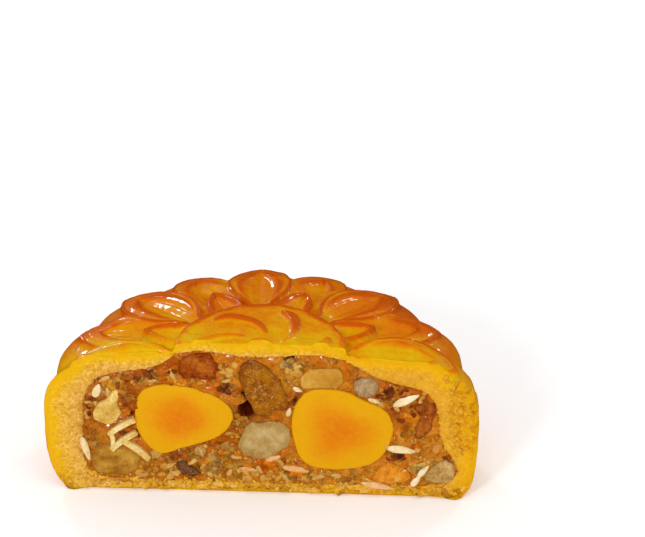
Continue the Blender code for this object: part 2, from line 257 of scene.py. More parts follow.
def dress(obj, material, nodes=()):
    obj.data.materials.clear()
    obj.data.materials.append(material)
    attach(obj, "root")
    if nodes:
        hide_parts(*nodes)


# --- What the solids show at the cut -----------------------------------------------------------


def cut_outlines(node):
    """The closed outlines of the node's cut face as arrays of (x, z), the longest first."""
    work = bmesh.new()
    work.from_mesh(frame["nodes"][node].data)
    bmesh.ops.remove_doubles(work, verts=work.verts, dist=0.002 * MM)
    flat = {
        face
        for face in work.faces
        if face.normal.y < -0.99 and abs(face.calc_center_median().y - CUT_Y) < 0.05 * MM
    }
    beside = {}
    for edge in work.edges:
        if len([face for face in edge.link_faces if face in flat]) == 1:
            a, b = edge.verts
            beside.setdefault(a, []).append(b)
            beside.setdefault(b, []).append(a)
    outlines = []
    while beside:
        vertex = next(iter(beside))
        loop = []
        while vertex in beside:
            loop.append((vertex.co.x - AXIS_X, vertex.co.z))
            following = [other for other in beside.pop(vertex) if other in beside]
            if following:
                vertex = following[0]
        outlines.append(np.array(loop))
    work.free()
    lengths = [np.hypot(*(np.roll(o, -1, axis=0) - o).T).sum() for o in outlines]
    return [outlines[i] for i in np.argsort(lengths)[::-1]]


class Reach:
    """A closed outline on the cut, told as its smoothed reach from a centre by angle."""

    def __init__(self, outline, centre, smoothing):
        self.centre = np.array(centre)
        closed = np.vstack([outline, outline[:1]])
        ends = np.linspace(0, 1, 12, endpoint=False)[:, None]
        dense = np.vstack([a + (b - a) * ends for a, b in zip(closed[:-1], closed[1:])])
        dense = dense - self.centre
        at = np.arctan2(dense[:, 1], dense[:, 0])
        order = np.argsort(at)
        at, reach = at[order], np.hypot(*dense[order].T)
        self.angles = np.linspace(-math.pi, math.pi, 720, endpoint=False)
        self.reach = np.interp(self.angles, at, reach, period=2 * math.pi)
        if smoothing:
            spread = np.arange(-40, 41) * 0.5
            weights = np.exp(-((spread / smoothing) ** 2))
            wide = np.concatenate([self.reach[-40:], self.reach, self.reach[:40]])
            self.reach = np.convolve(wide, weights / weights.sum(), mode="valid")

    def at(self, angles):
        return np.interp(angles, self.angles, self.reach, period=2 * math.pi)

    def inside(self, x, z):
        """How far the points lie inside the outline, towards the centre."""
        dx, dz = x - self.centre[0], z - self.centre[1]
        return self.at(np.arctan2(dz, dx)) - np.hypot(dx, dz)


MIDDLE = np.array([0.0, MIDDLE_HEIGHT])
HOLLOW = Reach(cut_outlines("crust")[1], MIDDLE, 2.0)


def under_the_dome(radius, height, quarter):
    """Lowers the filling's uneven top to its plain height, soon behind the cut."""
    share = (radius / (35 * MM)).clip(0, 1)
    plain = 13.5 * MM + (29.6 - 13.5) * MM * (1 - share**3) ** 0.3
    behind = radius * math.sin(quarter * math.pi / 2)
    near_cut = np.exp(-((behind / (6 * MM)) ** 2))
    return height * near_cut + np.minimum(height, plain) * (1 - near_cut)


def round_the_axis(front, quarter):
    """Turns points of the cut about the axis: right ones one way, and left ones the other.

    front holds (x, z) for each station, and the two halves are mirror images by station. Both
    come to their mean at the back, so that the last row closes on itself.
    """
    x, z = front.T
    mirrored = front[::-1]
    mirrored = np.roll(mirrored, 1, axis=0)
    blend = 0.5 * smooth_step(0, 1, quarter)
    radius = np.abs(x) * (1 - blend) + np.abs(mirrored[:, 0]) * blend
    height = under_the_dome(radius, z * (1 - blend) + mirrored[:, 1] * blend, quarter)
    turn = quarter * math.pi / 2
    side = np.where(x < 0, -1.0, 1.0)
    return np.column_stack([side * radius * math.cos(turn), radius * math.sin(turn), height])


# --- The pressed pattern -----------------------------------------------------------------------


def arc_radius(along, tip, widest, base, half):
    length = np.where(along > widest, tip - widest, widest - base)
    return (length**2 + half**2) / (2 * half)


def leaf_inside(along, across, tip, widest, base, half):
    arc = arc_radius(along, tip, widest, base, half)
    return arc - np.hypot(along - widest, np.abs(across) + arc - half)


def leaf_half_width(along, tip, widest, base, half):
    arc = arc_radius(along, tip, widest, base, half)
    return np.sqrt(np.maximum(arc**2 - (along - widest) ** 2, 0)) - (arc - half)


def along_and_across(share, angle, axis_angle, step):
    off = (angle - axis_angle + step / 2) % step - step / 2
    return share * np.cos(off), share * np.sin(off)


def petal_row(share, angle, axis_angle, row):
    """(how far inside a petal, height there), with a rolled rim, a creased hollow and veins."""
    shape = {key: row[key] for key in ("tip", "widest", "base", "half")}
    along, across = along_and_across(share, angle, axis_angle, PETAL_STEP)
    inside = leaf_inside(along, across, **shape)
    rim = row["rim"]
    hollow_width = leaf_half_width(
        along, row["tip"] - 2 * rim, row["widest"] - rim, row["base"] - rim, row["half"] - rim
    )
    towards_crease = np.clip(1 - np.abs(across) / np.maximum(hollow_width, 1e-4), 0, 1)
    towards_crease = np.where(hollow_width > 0, towards_crease, 0)
    deeper_inwards = 1.15 - 0.5 * smooth_step(row["base"], row["tip"], along)
    rim_line = 0.32 * MM * hump(rim / 2, rim / 5, inside)
    vein = 0.22 * MM * hump(0.45, 0.10, towards_crease) * (row["rim"] > 0.03)
    height = row["level"] - rim_line - vein - CREASE_DEPTH * deeper_inwards * towards_crease
    return inside, height


def ornament(share, angle):
    turned_by = angle - STROKE_TWIST * (share - STROKE_INNER)
    _, across = along_and_across(share, turned_by, STROKE_ANGLE, 2 * math.pi / STROKES)
    along = np.clip((share - STROKE_INNER) / (STROKE_OUTER - STROKE_INNER), 0, 1)
    half = STROKE_THIN + (STROKE_THICK - STROKE_THIN) * along
    past_end = np.maximum(STROKE_INNER - share, share - STROKE_OUTER).clip(0)
    inside = half - np.hypot(across, past_end * 2)
    return STROKE_LEVEL * np.maximum(
        smooth_step(0, STROKE_EDGE, inside), smooth_step(0, STROKE_EDGE, BOSS - share)
    )


def pressed_height(share, angle):
    """Height of the pressed pattern above the plain dome, each layer lying over the one before."""
    height = np.zeros_like(share)
    rows = [
        petal_row(share, angle, FRONT_PETAL_ANGLE + PETAL_STEP / 2, BACK_ROW),
        petal_row(share, angle, FRONT_PETAL_ANGLE, FRONT_ROW),
        petal_row(share, angle, FRONT_PETAL_ANGLE + PETAL_STEP / 2, INNER_ROW),
        (MEDALLION - share, MEDALLION_LEVEL + ornament(share, angle)),
    ]
    for inside, layer in rows:
        cover = smooth_step(0, EDGE, inside)
        height = height * (1 - cover) + layer * cover
    return height


def proudness(x, y):
    """How far the pattern stands out from what lies round it, for the browning of its ridges."""
    here = pressed_height(np.hypot(x, y) / RADIUS, np.arctan2(y, x))
    round_about = np.zeros_like(here)
    for reach in (0.9 * MM, 1.8 * MM):
        for turn in np.arange(8) * math.pi / 4:
            a, b = x + reach * math.cos(turn), y + reach * math.sin(turn)
            round_about += pressed_height(np.hypot(a, b) / RADIUS, np.arctan2(b, a)) / 16
    return here - round_about


# Where the oven browned the skin more than round about: x, y, reach in mm, and how much. The wide spot at
# the back right is painted shadow as well as browning.
BROWNER_AND_SHADED_SPOTS = [
    (-6.5, 10.5, 5.5, 0.42), (-26.0, 17.0, 5.0, 0.30), (-37.0, 13.0, 5.0, 0.34),
    (-16.0, 23.0, 4.5, 0.26), (8.0, 8.5, 2.6, 0.26), (28.0, 27.0, 11.0, 0.22),
    (3.0, 26.0, 6.0, 0.14), (17.0, 20.0, 4.0, 0.12), (36.0, 8.0, 4.0, 0.16),
]


def skin_browning_and_shade(x, y, z):
    """How brown the oven made the skin: most on ridges, high up and far from the cut, with painted shadow
    darkening the back right as well.
    """
    share = np.hypot(x, y) / RADIUS
    on_top = smooth_step(20 * MM, 27 * MM, z)
    ridges = smooth_step(-0.05, 0.65, proudness(x, y) / (0.55 * MM))
    shoulder = hump(0.90, 0.10, share)
    far = smooth_step(1 * MM, 20 * MM, y)
    # Painted shadow: the skin is darkened towards the back right, far from the cut and to the right.
    back_right_shade = smooth_step(8 * MM, 24 * MM, x) * far
    top = 0.24 * far + 0.58 * ridges + 0.22 * shoulder * (0.3 + ridges) + 0.10 * back_right_shade
    top = top * (0.45 + 0.55 * smooth_step(0, 9 * MM, y))
    for spot_x, spot_y, reach, amount in BROWNER_AND_SHADED_SPOTS:
        near = np.exp(-((x / MM - spot_x) ** 2 + (y / MM - spot_y) ** 2) / reach**2)
        top = top + amount * near * (0.6 + 0.4 * ridges)
    side = 0.02 + 0.32 * smooth_step(8 * MM, 28 * MM, y) + 0.08 * (x > 0)
    side = side + 0.30 * hump(4 * MM, 6 * MM, z) * (x < 0)
    return side * (1 - on_top) + top * on_top


def press_and_scallop(points):
    x, y, z = points.T
    share = np.hypot(x, y) / RADIUS
    angle = np.arctan2(y, x)
    lobe = np.abs(np.cos((angle - FRONT_PETAL_ANGLE) * SCALLOPS / 2)) ** 0.85
    outward = smooth_step(0.70, 0.99, share)
    upward = 0.35 + 0.65 * smooth_step(0, 0.6 * DOME_HEIGHT, z)
    narrowing = 1 - SCALLOP_DEPTH * (1 - lobe) * outward * upward
    on_top = smooth_step(BULGE_HEIGHT, BULGE_HEIGHT + 6 * MM, z)
    height = z + pressed_height(share, angle) * on_top
    rightward = smooth_step(0.8, 1, np.cos(angle)) * smooth_step(0, 1, x / BASE_RADIUS)
    sag = SAG * rightward * (1 - smooth_step(0, SAG_HEIGHT, z))
    return np.column_stack([x * narrowing + sag, y * narrowing * DEEPER, height])


# --- The crust -----------------------------------------------------------------------------------


def evenly(points, step):
    """Resamples a line of points so that they lie about a step apart."""
    along = np.concatenate([[0], np.cumsum(np.hypot(*np.diff(points, axis=0).T))])
    wanted = np.linspace(0, along[-1], round(along[-1] / step) + 1)
    return np.column_stack([np.interp(wanted, along, column) for column in points.T])


def crust_profile():
    """Half the crust's outline, from the top of the dome to the foot, as (radius, height)."""
    turn = np.linspace(0, math.pi / 2, 2000)
    share = np.sin(turn)
    rise = (1 - share**2).clip(0) ** DOME_POWER
    dome = np.column_stack([RADIUS * share, BULGE_HEIGHT + (DOME_HEIGHT - BULGE_HEIGHT) * rise])
    down = np.sin(np.linspace(0, math.pi / 2, 600))
    flare = (1 - down**FOOT_POWER).clip(0) ** (1 / FOOT_POWER)
    side = np.column_stack([BASE_RADIUS + (RADIUS - BASE_RADIUS) * flare, BULGE_HEIGHT * (1 - down)])
    return np.vstack([evenly(dome, DOME_STEP), evenly(side, SIDE_STEP)[1:]])


def outer_reach():
    """The skin's outline on the cut, for what has to stay inside it."""
    radius, height = crust_profile().T
    sides = [press_and_scallop(np.column_stack([side * radius, 0 * radius, height])) for side in (1, -1)]
    return Reach(np.vstack([sides[0], sides[1][::-1]])[:, [0, 2]], MIDDLE, 0)


def torn(x, z):
    """0 where the crust was cut cleanly, to 1 in the middle of the torn right end."""
    across = (x - TEAR_CENTRE[0]) / TEAR_SIZE[0]
    up = (z - TEAR_CENTRE[1]) / TEAR_SIZE[2]
    return (1 - np.abs(across) ** 2.6 - np.abs(up) ** 2.6).clip(0) ** 0.4


def crumb_depth(x, z, inward):
    """How far the crumb of the cut crust lies behind the cut."""
    flat = np.column_stack([x, np.zeros_like(x), z])
    coarse = wobble(flat, 1.5 * MM, 3.1)
    fine = wobble(flat, 0.62 * MM, 7.7)
    lumps = np.abs(wobble(flat, 3.2 * MM, 1.3))
    rough = smooth_step(0.4 * MM, 2.5 * MM, inward)
    low = 1 - smooth_step(2 * MM, 6 * MM, z)
    clods = wobble(flat, 2.4 * MM, 6.4).clip(-1) * 0.30
    crumb = (0.10 + 0.16 * coarse + 0.15 * fine) * MM * (0.35 + 0.65 * rough + 1.8 * low)
    crumb = crumb + clods * MM * low
    tear = torn(x, z)
    ledges = np.abs(wobble(flat, 2.6 * MM, 5.9)) + 0.6 * np.abs(wobble(flat, 1.2 * MM, 2.2))
    return crumb + tear * (TEAR_SIZE[1] * 0.82 - 2.6 * MM * ledges) - 0.12 * MM * lumps


def make_crust():
    profile = crust_profile()

    # The skin: a line drawn from the top to the foot, and spun behind the cut.
    bpy.ops.object.select_all(action="DESELECT")
    bpy.ops.mesh.primitive_plane_add(size=MM)
    crust = named("crust_baked")
    edit(crust)
    done()
    select_vertices(crust.data, [False, True, True, True])
    bpy.ops.object.mode_set(mode="EDIT")
    bpy.ops.mesh.delete(type="VERT")
    bpy.ops.mesh.select_all(action="SELECT")
    done()
    move_vertices(crust.data, [(0, 0, profile[0][1])])
    bpy.ops.object.mode_set(mode="EDIT")
    for (r0, z0), (r1, z1) in zip(profile[:-1], profile[1:]):
        bpy.ops.mesh.extrude_region_move(
            TRANSFORM_OT_translate={"value": (r1 - r0, 0, z1 - z0)}
        )
    bpy.ops.mesh.select_all(action="SELECT")
    bpy.ops.mesh.spin(steps=TURN_STEPS, angle=math.pi, center=(0, 0, 0), axis=(0, 0, -1))
    done()
    merge_and_face_outwards(crust)
    plain = vertices_of(crust.data)

    def rounded_back(points):
        """Moves the skin back by the cut's edge, by its rounding and where it is torn."""
        x, y, z = points.T
        edge = ROUNDING + crumb_depth(x, z, 0 * x).clip(0)
        edge = edge * smooth_step(0, 1.2 * MM, z)
        return np.column_stack([x, np.hypot(y, edge), z])

    pressed = press_and_scallop(plain)
    low_swell = wobble(pressed, 9 * MM, 4.4) * 0.30 + wobble(pressed, 3.5 * MM, 8.8) * 0.10
    low_swell = low_swell + wobble(pressed, 1.3 * MM, 2.8) * 0.04
    flat_base = smooth_step(0, 3 * MM, plain[:, 2])
    move_vertices(crust.data, pressed)
    pressed = pressed + normals_of(crust.data) * (low_swell * MM * flat_base)[:, None]
    x, y, z = plain.T
    # Browning of the skin, with painted shadow on the back right.
    browned_and_shaded = skin_browning_and_shade(x, y, z)
    move_vertices(crust.data, rounded_back(pressed))
    keep_values(crust.data, "browned_and_shaded", browned_and_shaded)
    keep_values(crust.data, "cut", np.zeros(len(x)))
    keep_values(crust.data, "glazed", smooth_step(12 * MM, 24 * MM, z))
    keep_values(crust.data, "inward", np.zeros(len(x)))
    keep_values(crust.data, "grainy", np.zeros(len(x)))
    keep_values(crust.data, "low", np.zeros(len(x)))
    torn_off = torn(pressed[:, 0], pressed[:, 2]) * hump(0, 4 * MM, y)
    keep_values(crust.data, "torn", torn_off)
    keep_values(crust.data, "golden", torn_off)

    # The cut face, as a ring from the skin's edge to the hollow and round the hollow's wall.
    at_cut = np.abs(y) < 0.003 * MM
    placed = vertices_of(crust.data)
    down_the_side = np.arctan2(np.abs(x) - 0.7 * RADIUS, z - 0.4 * BULGE_HEIGHT)
    order = np.argsort(down_the_side)
    right = [i for i in order if at_cut[i] and x[i] > -0.001 * MM]
    left = [i for i in order if at_cut[i] and x[i] < -0.001 * MM]
    base_x = np.linspace(1, -1, 2 * BASE_POINTS + 1)[1:-1] * placed[right[-1], 0]
    base_x = np.where(base_x < 0, base_x * placed[left[-1], 0] / -placed[right[-1], 0], base_x)
    ends = np.minimum(base_x - placed[left[-1], 0], placed[right[-1], 0] - base_x)
    base_y = 1.1 * MM * smooth_step(0, 3 * MM, ends)
    base = np.column_stack([base_x, base_y, 0 * base_x])
    outer = np.vstack([placed[right], base, placed[left[::-1]]])
    edge = outer[:, [0, 2]].copy()
    lower = slice(len(right), len(right) + len(base))
    ragged = wobble(np.column_stack([base_x, base_x, base_y]), 2.3 * MM, 6.1).clip(-0.1, 1)
    edge[lower, 1] = (0.08 + 1.05 * np.abs(ragged)) * MM * smooth_step(0, 4 * MM, ends)
    off = edge - MIDDLE
    angle = np.arctan2(off[:, 1], off[:, 0])
    rim_noise = wobble(np.column_stack([edge, angle]), 2.0 * MM, 9.2) * 0.35 * MM
    rim_noise[lower] = rim_noise[lower] * 2.4
    rim = MIDDLE + np.column_stack([np.cos(angle), np.sin(angle)]) * (
        HOLLOW.at(angle) + rim_noise
    )[:, None]
    rows = []
    for share in np.linspace(0, 1, FACE_ROWS + 1)[1:] ** 1.15:
        flat = edge * (1 - share) + rim * share
        inward = np.hypot(*(flat - edge).T)
        depth = crumb_depth(*flat.T, inward) + ROUNDING * (1 - smooth_step(0, 1.5 * MM, inward))
        depth = depth + 0.3 * MM * (share == 1)
        rows.append(np.column_stack([flat[:, 0], depth, flat[:, 1]]))
    for quarter in np.linspace(0, 1, HOLLOW_ROWS + 1)[1:]:
        wall = round_the_axis(rim, quarter)
        rows.append(wall + (0, 0.4 * MM * (1 - quarter), 0))
    face, station, row_of = ring_of("crust_cut", outer, rows)
    points = vertices_of(face.data)
    inward = np.hypot(*(points[:, [0, 2]] - edge[station]).T)
    share = (row_of / FACE_ROWS).clip(0, 1) ** 1.15
    inner = np.maximum(inward, 4.2 * MM * share)  # so that thin crust has its pale crumb too
    inner = inner + 0.9 * MM * wobble(points, 1.9 * MM, 3.7) * smooth_step(0, 1.5 * MM, inward)
    inner = inner.clip(0)
    on_cut = (row_of > 0) * smooth_step(0.15 * MM, 0.75 * MM, inward)
    behind = row_of > FACE_ROWS
    keep_values(face.data, "browned_and_shaded", np.zeros(len(points)))
    keep_values(face.data, "glazed", np.zeros(len(points)))
    keep_values(face.data, "cut", np.where(behind, 1, on_cut))
    keep_values(face.data, "inward", inner / MM)
    low = 1 - smooth_step(1.5 * MM, 4.5 * MM, points[:, 2])
    grainy = 0.3 * smooth_step(0.3 * MM, 1.2 * MM, inner) + 0.7 * smooth_step(1.2 * MM, 3.4 * MM, inner)
    grainy = np.maximum(grainy, 1.7 * low)
    keep_values(face.data, "grainy", grainy)
    keep_values(face.data, "low", low)
    torn_off = torn(points[:, 0], points[:, 2])
    keep_values(face.data, "torn", torn_off)
    golden = torn_off + 0.75 * smooth_step(-5 * MM, 28 * MM, points[:, 0])
    keep_values(face.data, "golden", golden.clip(0, 1))
    join(crust, face)
    merge_and_face_outwards(crust)
    edit(crust)
    bpy.ops.mesh.select_non_manifold(extend=False)
    bpy.ops.mesh.edge_face_add()
    done()
    face_outwards(crust)
    smooth_shading(crust)
    settle(crust)
    return crust


# --- The filling -----------------------------------------------------------------------------------

PASTE_COLUMNS = 320
PASTE_ROWS = 132
PASTE_TEMPLATE = (34 * MM, 13.5 * MM)  # half width and half height of the grid before it is fitted
PASTE_RECESS = 0.15 * MM
DEEP_PIT = 1.5 * MM  # bits keep clear of places that lie deeper than this
PASTE_COLOUR = "b06c20"
PASTE_DEPTH_OF_COLOUR = (1.26, 0.86, 0.22)

# Patches of the paste on the cut: x from the axis, height, reach in mm, and colour. The darkest ones, at the
# pits and just under the left yolk, are the paste's own darker colour with painted shade as well.
PASTE_PATCHES = [
    (-30.5, 25.4, 2.2, "8f4a14"), (-27.0, 25.9, 2.2, "9a4a12"), (-22.5, 26.6, 2.4, "a85412"),
    (-18.5, 27.6, 2.4, "9c4a10"), (-33.6, 20.5, 2.4, "8c4c1c"), (-29.2, 21.0, 3.0, "bf6a1c"),
    (-25.4, 21.6, 2.2, "8f4c18"), (-33.6, 14.5, 2.0, "a5652c"), (-24.0, 26.0, 1.6, "7c2f0c"),
    (-27.5, 14.8, 2.0, "8a3f12"), (-30.0, 7.0, 4.0, "a8742e"), (-22.5, 6.0, 4.0, "b07230"),
    (-17.0, 8.2, 2.2, "8e4812"), (-12.0, 8.4, 3.0, "96581c"), (-8.0, 7.0, 3.5, "a8702a"),
    (-8.5, 12.2, 2.4, "8c4812"), (-3.2, 20.5, 3.0, "6c2c0c"), (-6.2, 24.0, 2.0, "b05018"),
    (-6.0, 28.0, 2.6, "c08238"), (5.8, 27.0, 2.4, "c49a54"), (7.0, 22.0, 1.8, "8a4614"),
    (0.0, 6.8, 3.4, "d0822c"), (6.5, 5.6, 3.0, "c98a40"), (13.0, 4.6, 4.0, "b88028"),
    (19.5, 5.2, 3.4, "c48a3c"), (24.0, 9.4, 2.8, "c07028"), (26.0, 24.6, 3.0, "a4521c"),
    (21.5, 26.6, 1.8, "b88a58"), (26.0, 19.4, 2.0, "9c4c1c"), (30.5, 12.0, 3.4, "bc8844"),
    (29.4, 17.0, 2.4, "d09030"), (31.5, 22.0, 2.4, "a45c20"), (36.0, 6.4, 3.0, "c09458"),
    (10.0, 30.2, 4.0, "bc7c30"), (-4.6, 22.2, 1.3, "7a1800"), (-5.4, 20.6, 1.1, "8c2400"),
    (27.0, 8.4, 1.3, "c85010"), (-24.6, 18.2, 1.2, "7c2000"),
]

# Pits in the paste: x, height, half width, half height, depth, all in mm.
PASTE_PITS = [
    (-2.6, 19.9, 1.6, 2.8, 4.2), (-26.3, 17.7, 1.6, 0.6, 1.8), (-25.5, 25.9, 1.4, 0.5, 1.4),
    (5.7, 31.0, 1.0, 0.7, 1.6), (6.6, 21.7, 0.6, 1.4, 1.4), (-24.4, 13.0, 1.0, 0.8, 1.4),
    (27.8, 14.2, 1.0, 0.4, 1.2), (24.6, 22.6, 1.6, 0.4, 1.2), (37.0, 8.4, 1.0, 0.4, 1.0),
    (-7.4, 11.4, 2.6, 0.4, 0.9), (26.4, 20.6, 0.9, 0.5, 1.0), (33.6, 24.0, 0.7, 0.7, 1.2),
]


# Outlines of set pieces with corners, in shares of half their solid's width and height.
CORNERS = {
    "walnut_left": [
        (-1.10, -0.28), (-0.70, 0.20), (-0.13, 0.42), (0.23, 0.79), (0.58, 1.00), (0.87, 0.70),
        (0.65, 0.22), (0.94, -0.30), (0.58, -0.72), (0.01, -0.94), (-0.63, -0.85), (-1.05, -0.59),
    ],
    "candied_melon_upper": [
        (-0.99, 0.57), (-0.86, 0.88), (-0.57, 1.01), (-0.25, 1.00), (0.08, 0.84), (0.37, 0.64),
        (0.70, 0.37), (0.90, -0.04), (1.02, -0.41), (0.90, -0.66), (0.53, -0.64), (0.29, -0.82),
        (0.00, -0.92), (-0.33, -0.80), (-0.49, -0.51), (-0.70, -0.24), (-0.82, 0.03), (-0.99, 0.30),
    ],
    "candied_melon_lower": [
        (-1.06, -0.39), (-0.94, 0.14), (-0.74, 0.69), (-0.50, 0.96), (-0.10, 0.92), (0.41, 1.05),
        (0.77, 0.95), (1.01, 0.64), (1.05, 0.00), (0.93, -0.33), (0.61, -0.55), (0.33, -0.94),
        (-0.10, -1.06), (-0.58, -0.97), (-0.90, -0.71),
    ],
    "sausage_upper_left": [
        (-1.00, -0.54), (-0.96, 0.28), (-0.73, 0.77), (-0.32, 1.03), (0.19, 1.15), (0.46, 1.07),
        (0.69, 0.51), (0.92, -0.29), (0.83, -0.94), (0.37, -1.04), (-0.32, -0.99), (-0.77, -0.93),
    ],
    "cashew_upper_right": [
        (-0.98, -0.90), (-0.98, -0.06), (-0.61, 0.72), (0.14, 0.85), (0.75, 0.88), (0.94, 0.51),
        (0.99, -0.43), (0.75, -0.96), (-0.09, -1.05), (-0.75, -1.08),
    ],
    "sugared_fat_upper_right": [
        (-1.00, -0.14), (-0.92, 0.75), (-0.32, 1.15), (0.44, 1.15), (1.04, 0.81), (1.12, -0.07),
        (0.70, -0.74), (0.19, -1.04), (-0.49, -0.89),
    ],
    "candied_date_right": [
        (-0.58, 0.87), (0.09, 1.06), (0.75, 1.15), (1.09, 0.96), (1.15, 0.49), (1.00, 0.13),
        (0.75, -0.58), (0.34, -0.95), (-0.16, -1.15), (-0.66, -0.96), (-0.50, -0.31), (-0.25, 0.28),
    ],
    "sugared_fat_lower_right": [
        (-0.88, -0.03), (-0.21, 0.84), (0.54, 1.20), (1.12, 0.78), (1.30, -0.06), (1.20, -0.90),
        (0.54, -1.25), (-0.55, -1.25), (-1.13, -1.10), (-1.21, -0.46),
    ],
    "candied_peel_lower_right": [
        (-1.17, -0.56), (-0.76, 0.39), (-0.18, 1.15), (0.41, 0.89), (1.00, 0.25), (1.17, -0.55),
        (0.82, -1.05), (0.23, -1.20), (-0.64, -1.22), (-1.05, -1.05),
    ],
    "sugared_fat_left": [
        (-1.03, 0.02), (-0.77, 0.58), (-0.25, 0.71), (0.27, 0.56), (0.79, 0.35), (1.09, -0.08),
        (1.05, -0.63), (0.62, -1.02), (-0.16, -1.10), (-0.77, -1.00), (-1.03, -0.59),
    ],
    "raisin_lower_left": [
        (-0.90, 0.50), (-0.40, 1.00), (0.00, 0.40), (0.40, -0.10), (1.00, -0.40), (1.10, -0.80),
        (0.60, -1.08), (-0.20, -1.05), (-0.80, -0.60),
    ],
}


class SetPiece:
    """One of the pieces that the cut shows in the filling, in its solid's place."""

    def __init__(self, node):
        outline = cut_outlines(node)[0]
        if node in CORNERS:
            low, high = np.array(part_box(node))[:, [0, 2]] - (AXIS_X, 0)
            outline = (low + high) / 2 + np.array(CORNERS[node]) * (high - low) / 2
        self.node = node
        self.outline = Reach(outline, outline.mean(axis=0), 4.0 if node.startswith("yolk") else 2.0)
        self.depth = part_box(node)[1][1] - CUT_Y


SET_PIECES = {
    entry["node"]: SetPiece(entry["node"])
    for entry in frame["record"]["subparts"]
    if entry["node"] not in ("crust", "filling")
}


def paste_depth(x, z):
    """How far the paste lies behind the cut."""
    flat = np.column_stack([x, np.zeros_like(x), z])
    depth = PASTE_RECESS + 0.38 * MM * wobble(flat, 2.6 * MM, 2.5)
    depth = depth + 0.26 * MM * wobble(flat, 1.1 * MM, 6.5) + 0.10 * MM * wobble(flat, 0.5 * MM, 8.1)
    for px, pz, half_width, half_height, deep in PASTE_PITS:
        off = ((x / MM - px) / half_width) ** 2 + ((z / MM - pz) / half_height) ** 2
        depth = depth + deep * MM * np.exp(-(off**1.5))
    for piece in SET_PIECES.values():
        inside = piece.outline.inside(x, z)
        depth = depth + 0.16 * MM * hump(0, 0.35 * MM, inside)
        depth = depth + 1.8 * MM * smooth_step(0.1 * MM, 0.8 * MM, inside)
    rim = HOLLOW.inside(x, z)
    return (depth + 0.35 * MM * hump(0, 0.4 * MM, rim)).clip(-0.5 * MM)


def paste_colours(x, z):
    """The patches' colours, each strongest where its patch lies."""
    total = np.full(len(x), 0.06)
    mixed = np.outer(total, tint(PASTE_COLOUR)[:3])
    for px, pz, reach, code in PASTE_PATCHES:
        weight = np.exp(-(((x / MM - px) ** 2 + (z / MM - pz) ** 2) / reach**2))
        total = total + weight
        mixed = mixed + np.outer(weight, tint(code)[:3])
    return mixed / total[:, None] * PASTE_DEPTH_OF_COLOUR


def behind_the_cut(angle, quarter, inset):
    """The hollow's wall at that angle on the cut, turned about the axis by part of a right angle."""
    share = 0.5 * smooth_step(0, 1, quarter)
    reach = HOLLOW.at(angle) * (1 - share) + HOLLOW.at(math.pi - angle) * share - inset
    x, z = np.cos(angle) * reach, MIDDLE_HEIGHT + np.sin(angle) * reach
    z = under_the_dome(np.abs(x), z, quarter)
    turn = quarter * math.pi / 2
    return np.column_stack([x * math.cos(turn), np.abs(x) * math.sin(turn), z])


def make_filling():
    bpy.ops.object.select_all(action="DESELECT")
    bpy.ops.mesh.primitive_grid_add(
        x_subdivisions=PASTE_COLUMNS, y_subdivisions=PASTE_ROWS, size=2
    )
    paste = named("filling_paste")
    mesh = paste.data
    u, v, _ = vertices_of(mesh).T
    across, up = u * PASTE_TEMPLATE[0], v * PASTE_TEMPLATE[1]
    angle = np.arctan2(up, across)
    sides = PASTE_TEMPLATE[0] / np.abs(np.cos(angle)).clip(1e-9)
    ends = PASTE_TEMPLATE[1] / np.abs(np.sin(angle)).clip(1e-9)
    share = np.hypot(across, up) / np.minimum(sides, ends)
    reach = (HOLLOW.at(angle) + 0.2 * MM) * share
    x, z = np.cos(angle) * reach, MIDDLE_HEIGHT + np.sin(angle) * reach
    move_vertices(mesh, np.column_stack([x, paste_depth(x, z), z]))
    keep_values(mesh, "angle", angle)
    edit(paste)
    bpy.ops.mesh.select_non_manifold(extend=False)
    done()
    for quarter in np.linspace(0, 1, 7)[1:]:
        bpy.ops.object.mode_set(mode="EDIT")
        bpy.ops.mesh.extrude_region_move()
        done()
        total = len(mesh.vertices)
        chosen = np.empty(total, dtype=bool)
        mesh.vertices.foreach_get("select", chosen)
        angles = np.empty(total)
        mesh.attributes["angle"].data.foreach_get("value", angles)
        points = vertices_of(mesh)
        wall = behind_the_cut(angles[chosen], quarter, 0.3 * MM)
        points[chosen] = wall + (0, 1.0 * MM * (1 - quarter), 0)
        move_vertices(mesh, points)
    merge_and_face_outwards(paste)
    mesh.attributes.remove(mesh.attributes["angle"])
    x, y, z = vertices_of(mesh).T
    keep_colours(mesh, "paste", paste_colours(x, z))
    keep_values(mesh, "deep", y / MM)
    smooth_shading(paste)
    settle(paste)
    return paste


# --- The pieces set in the filling -----------------------------------------------------------------


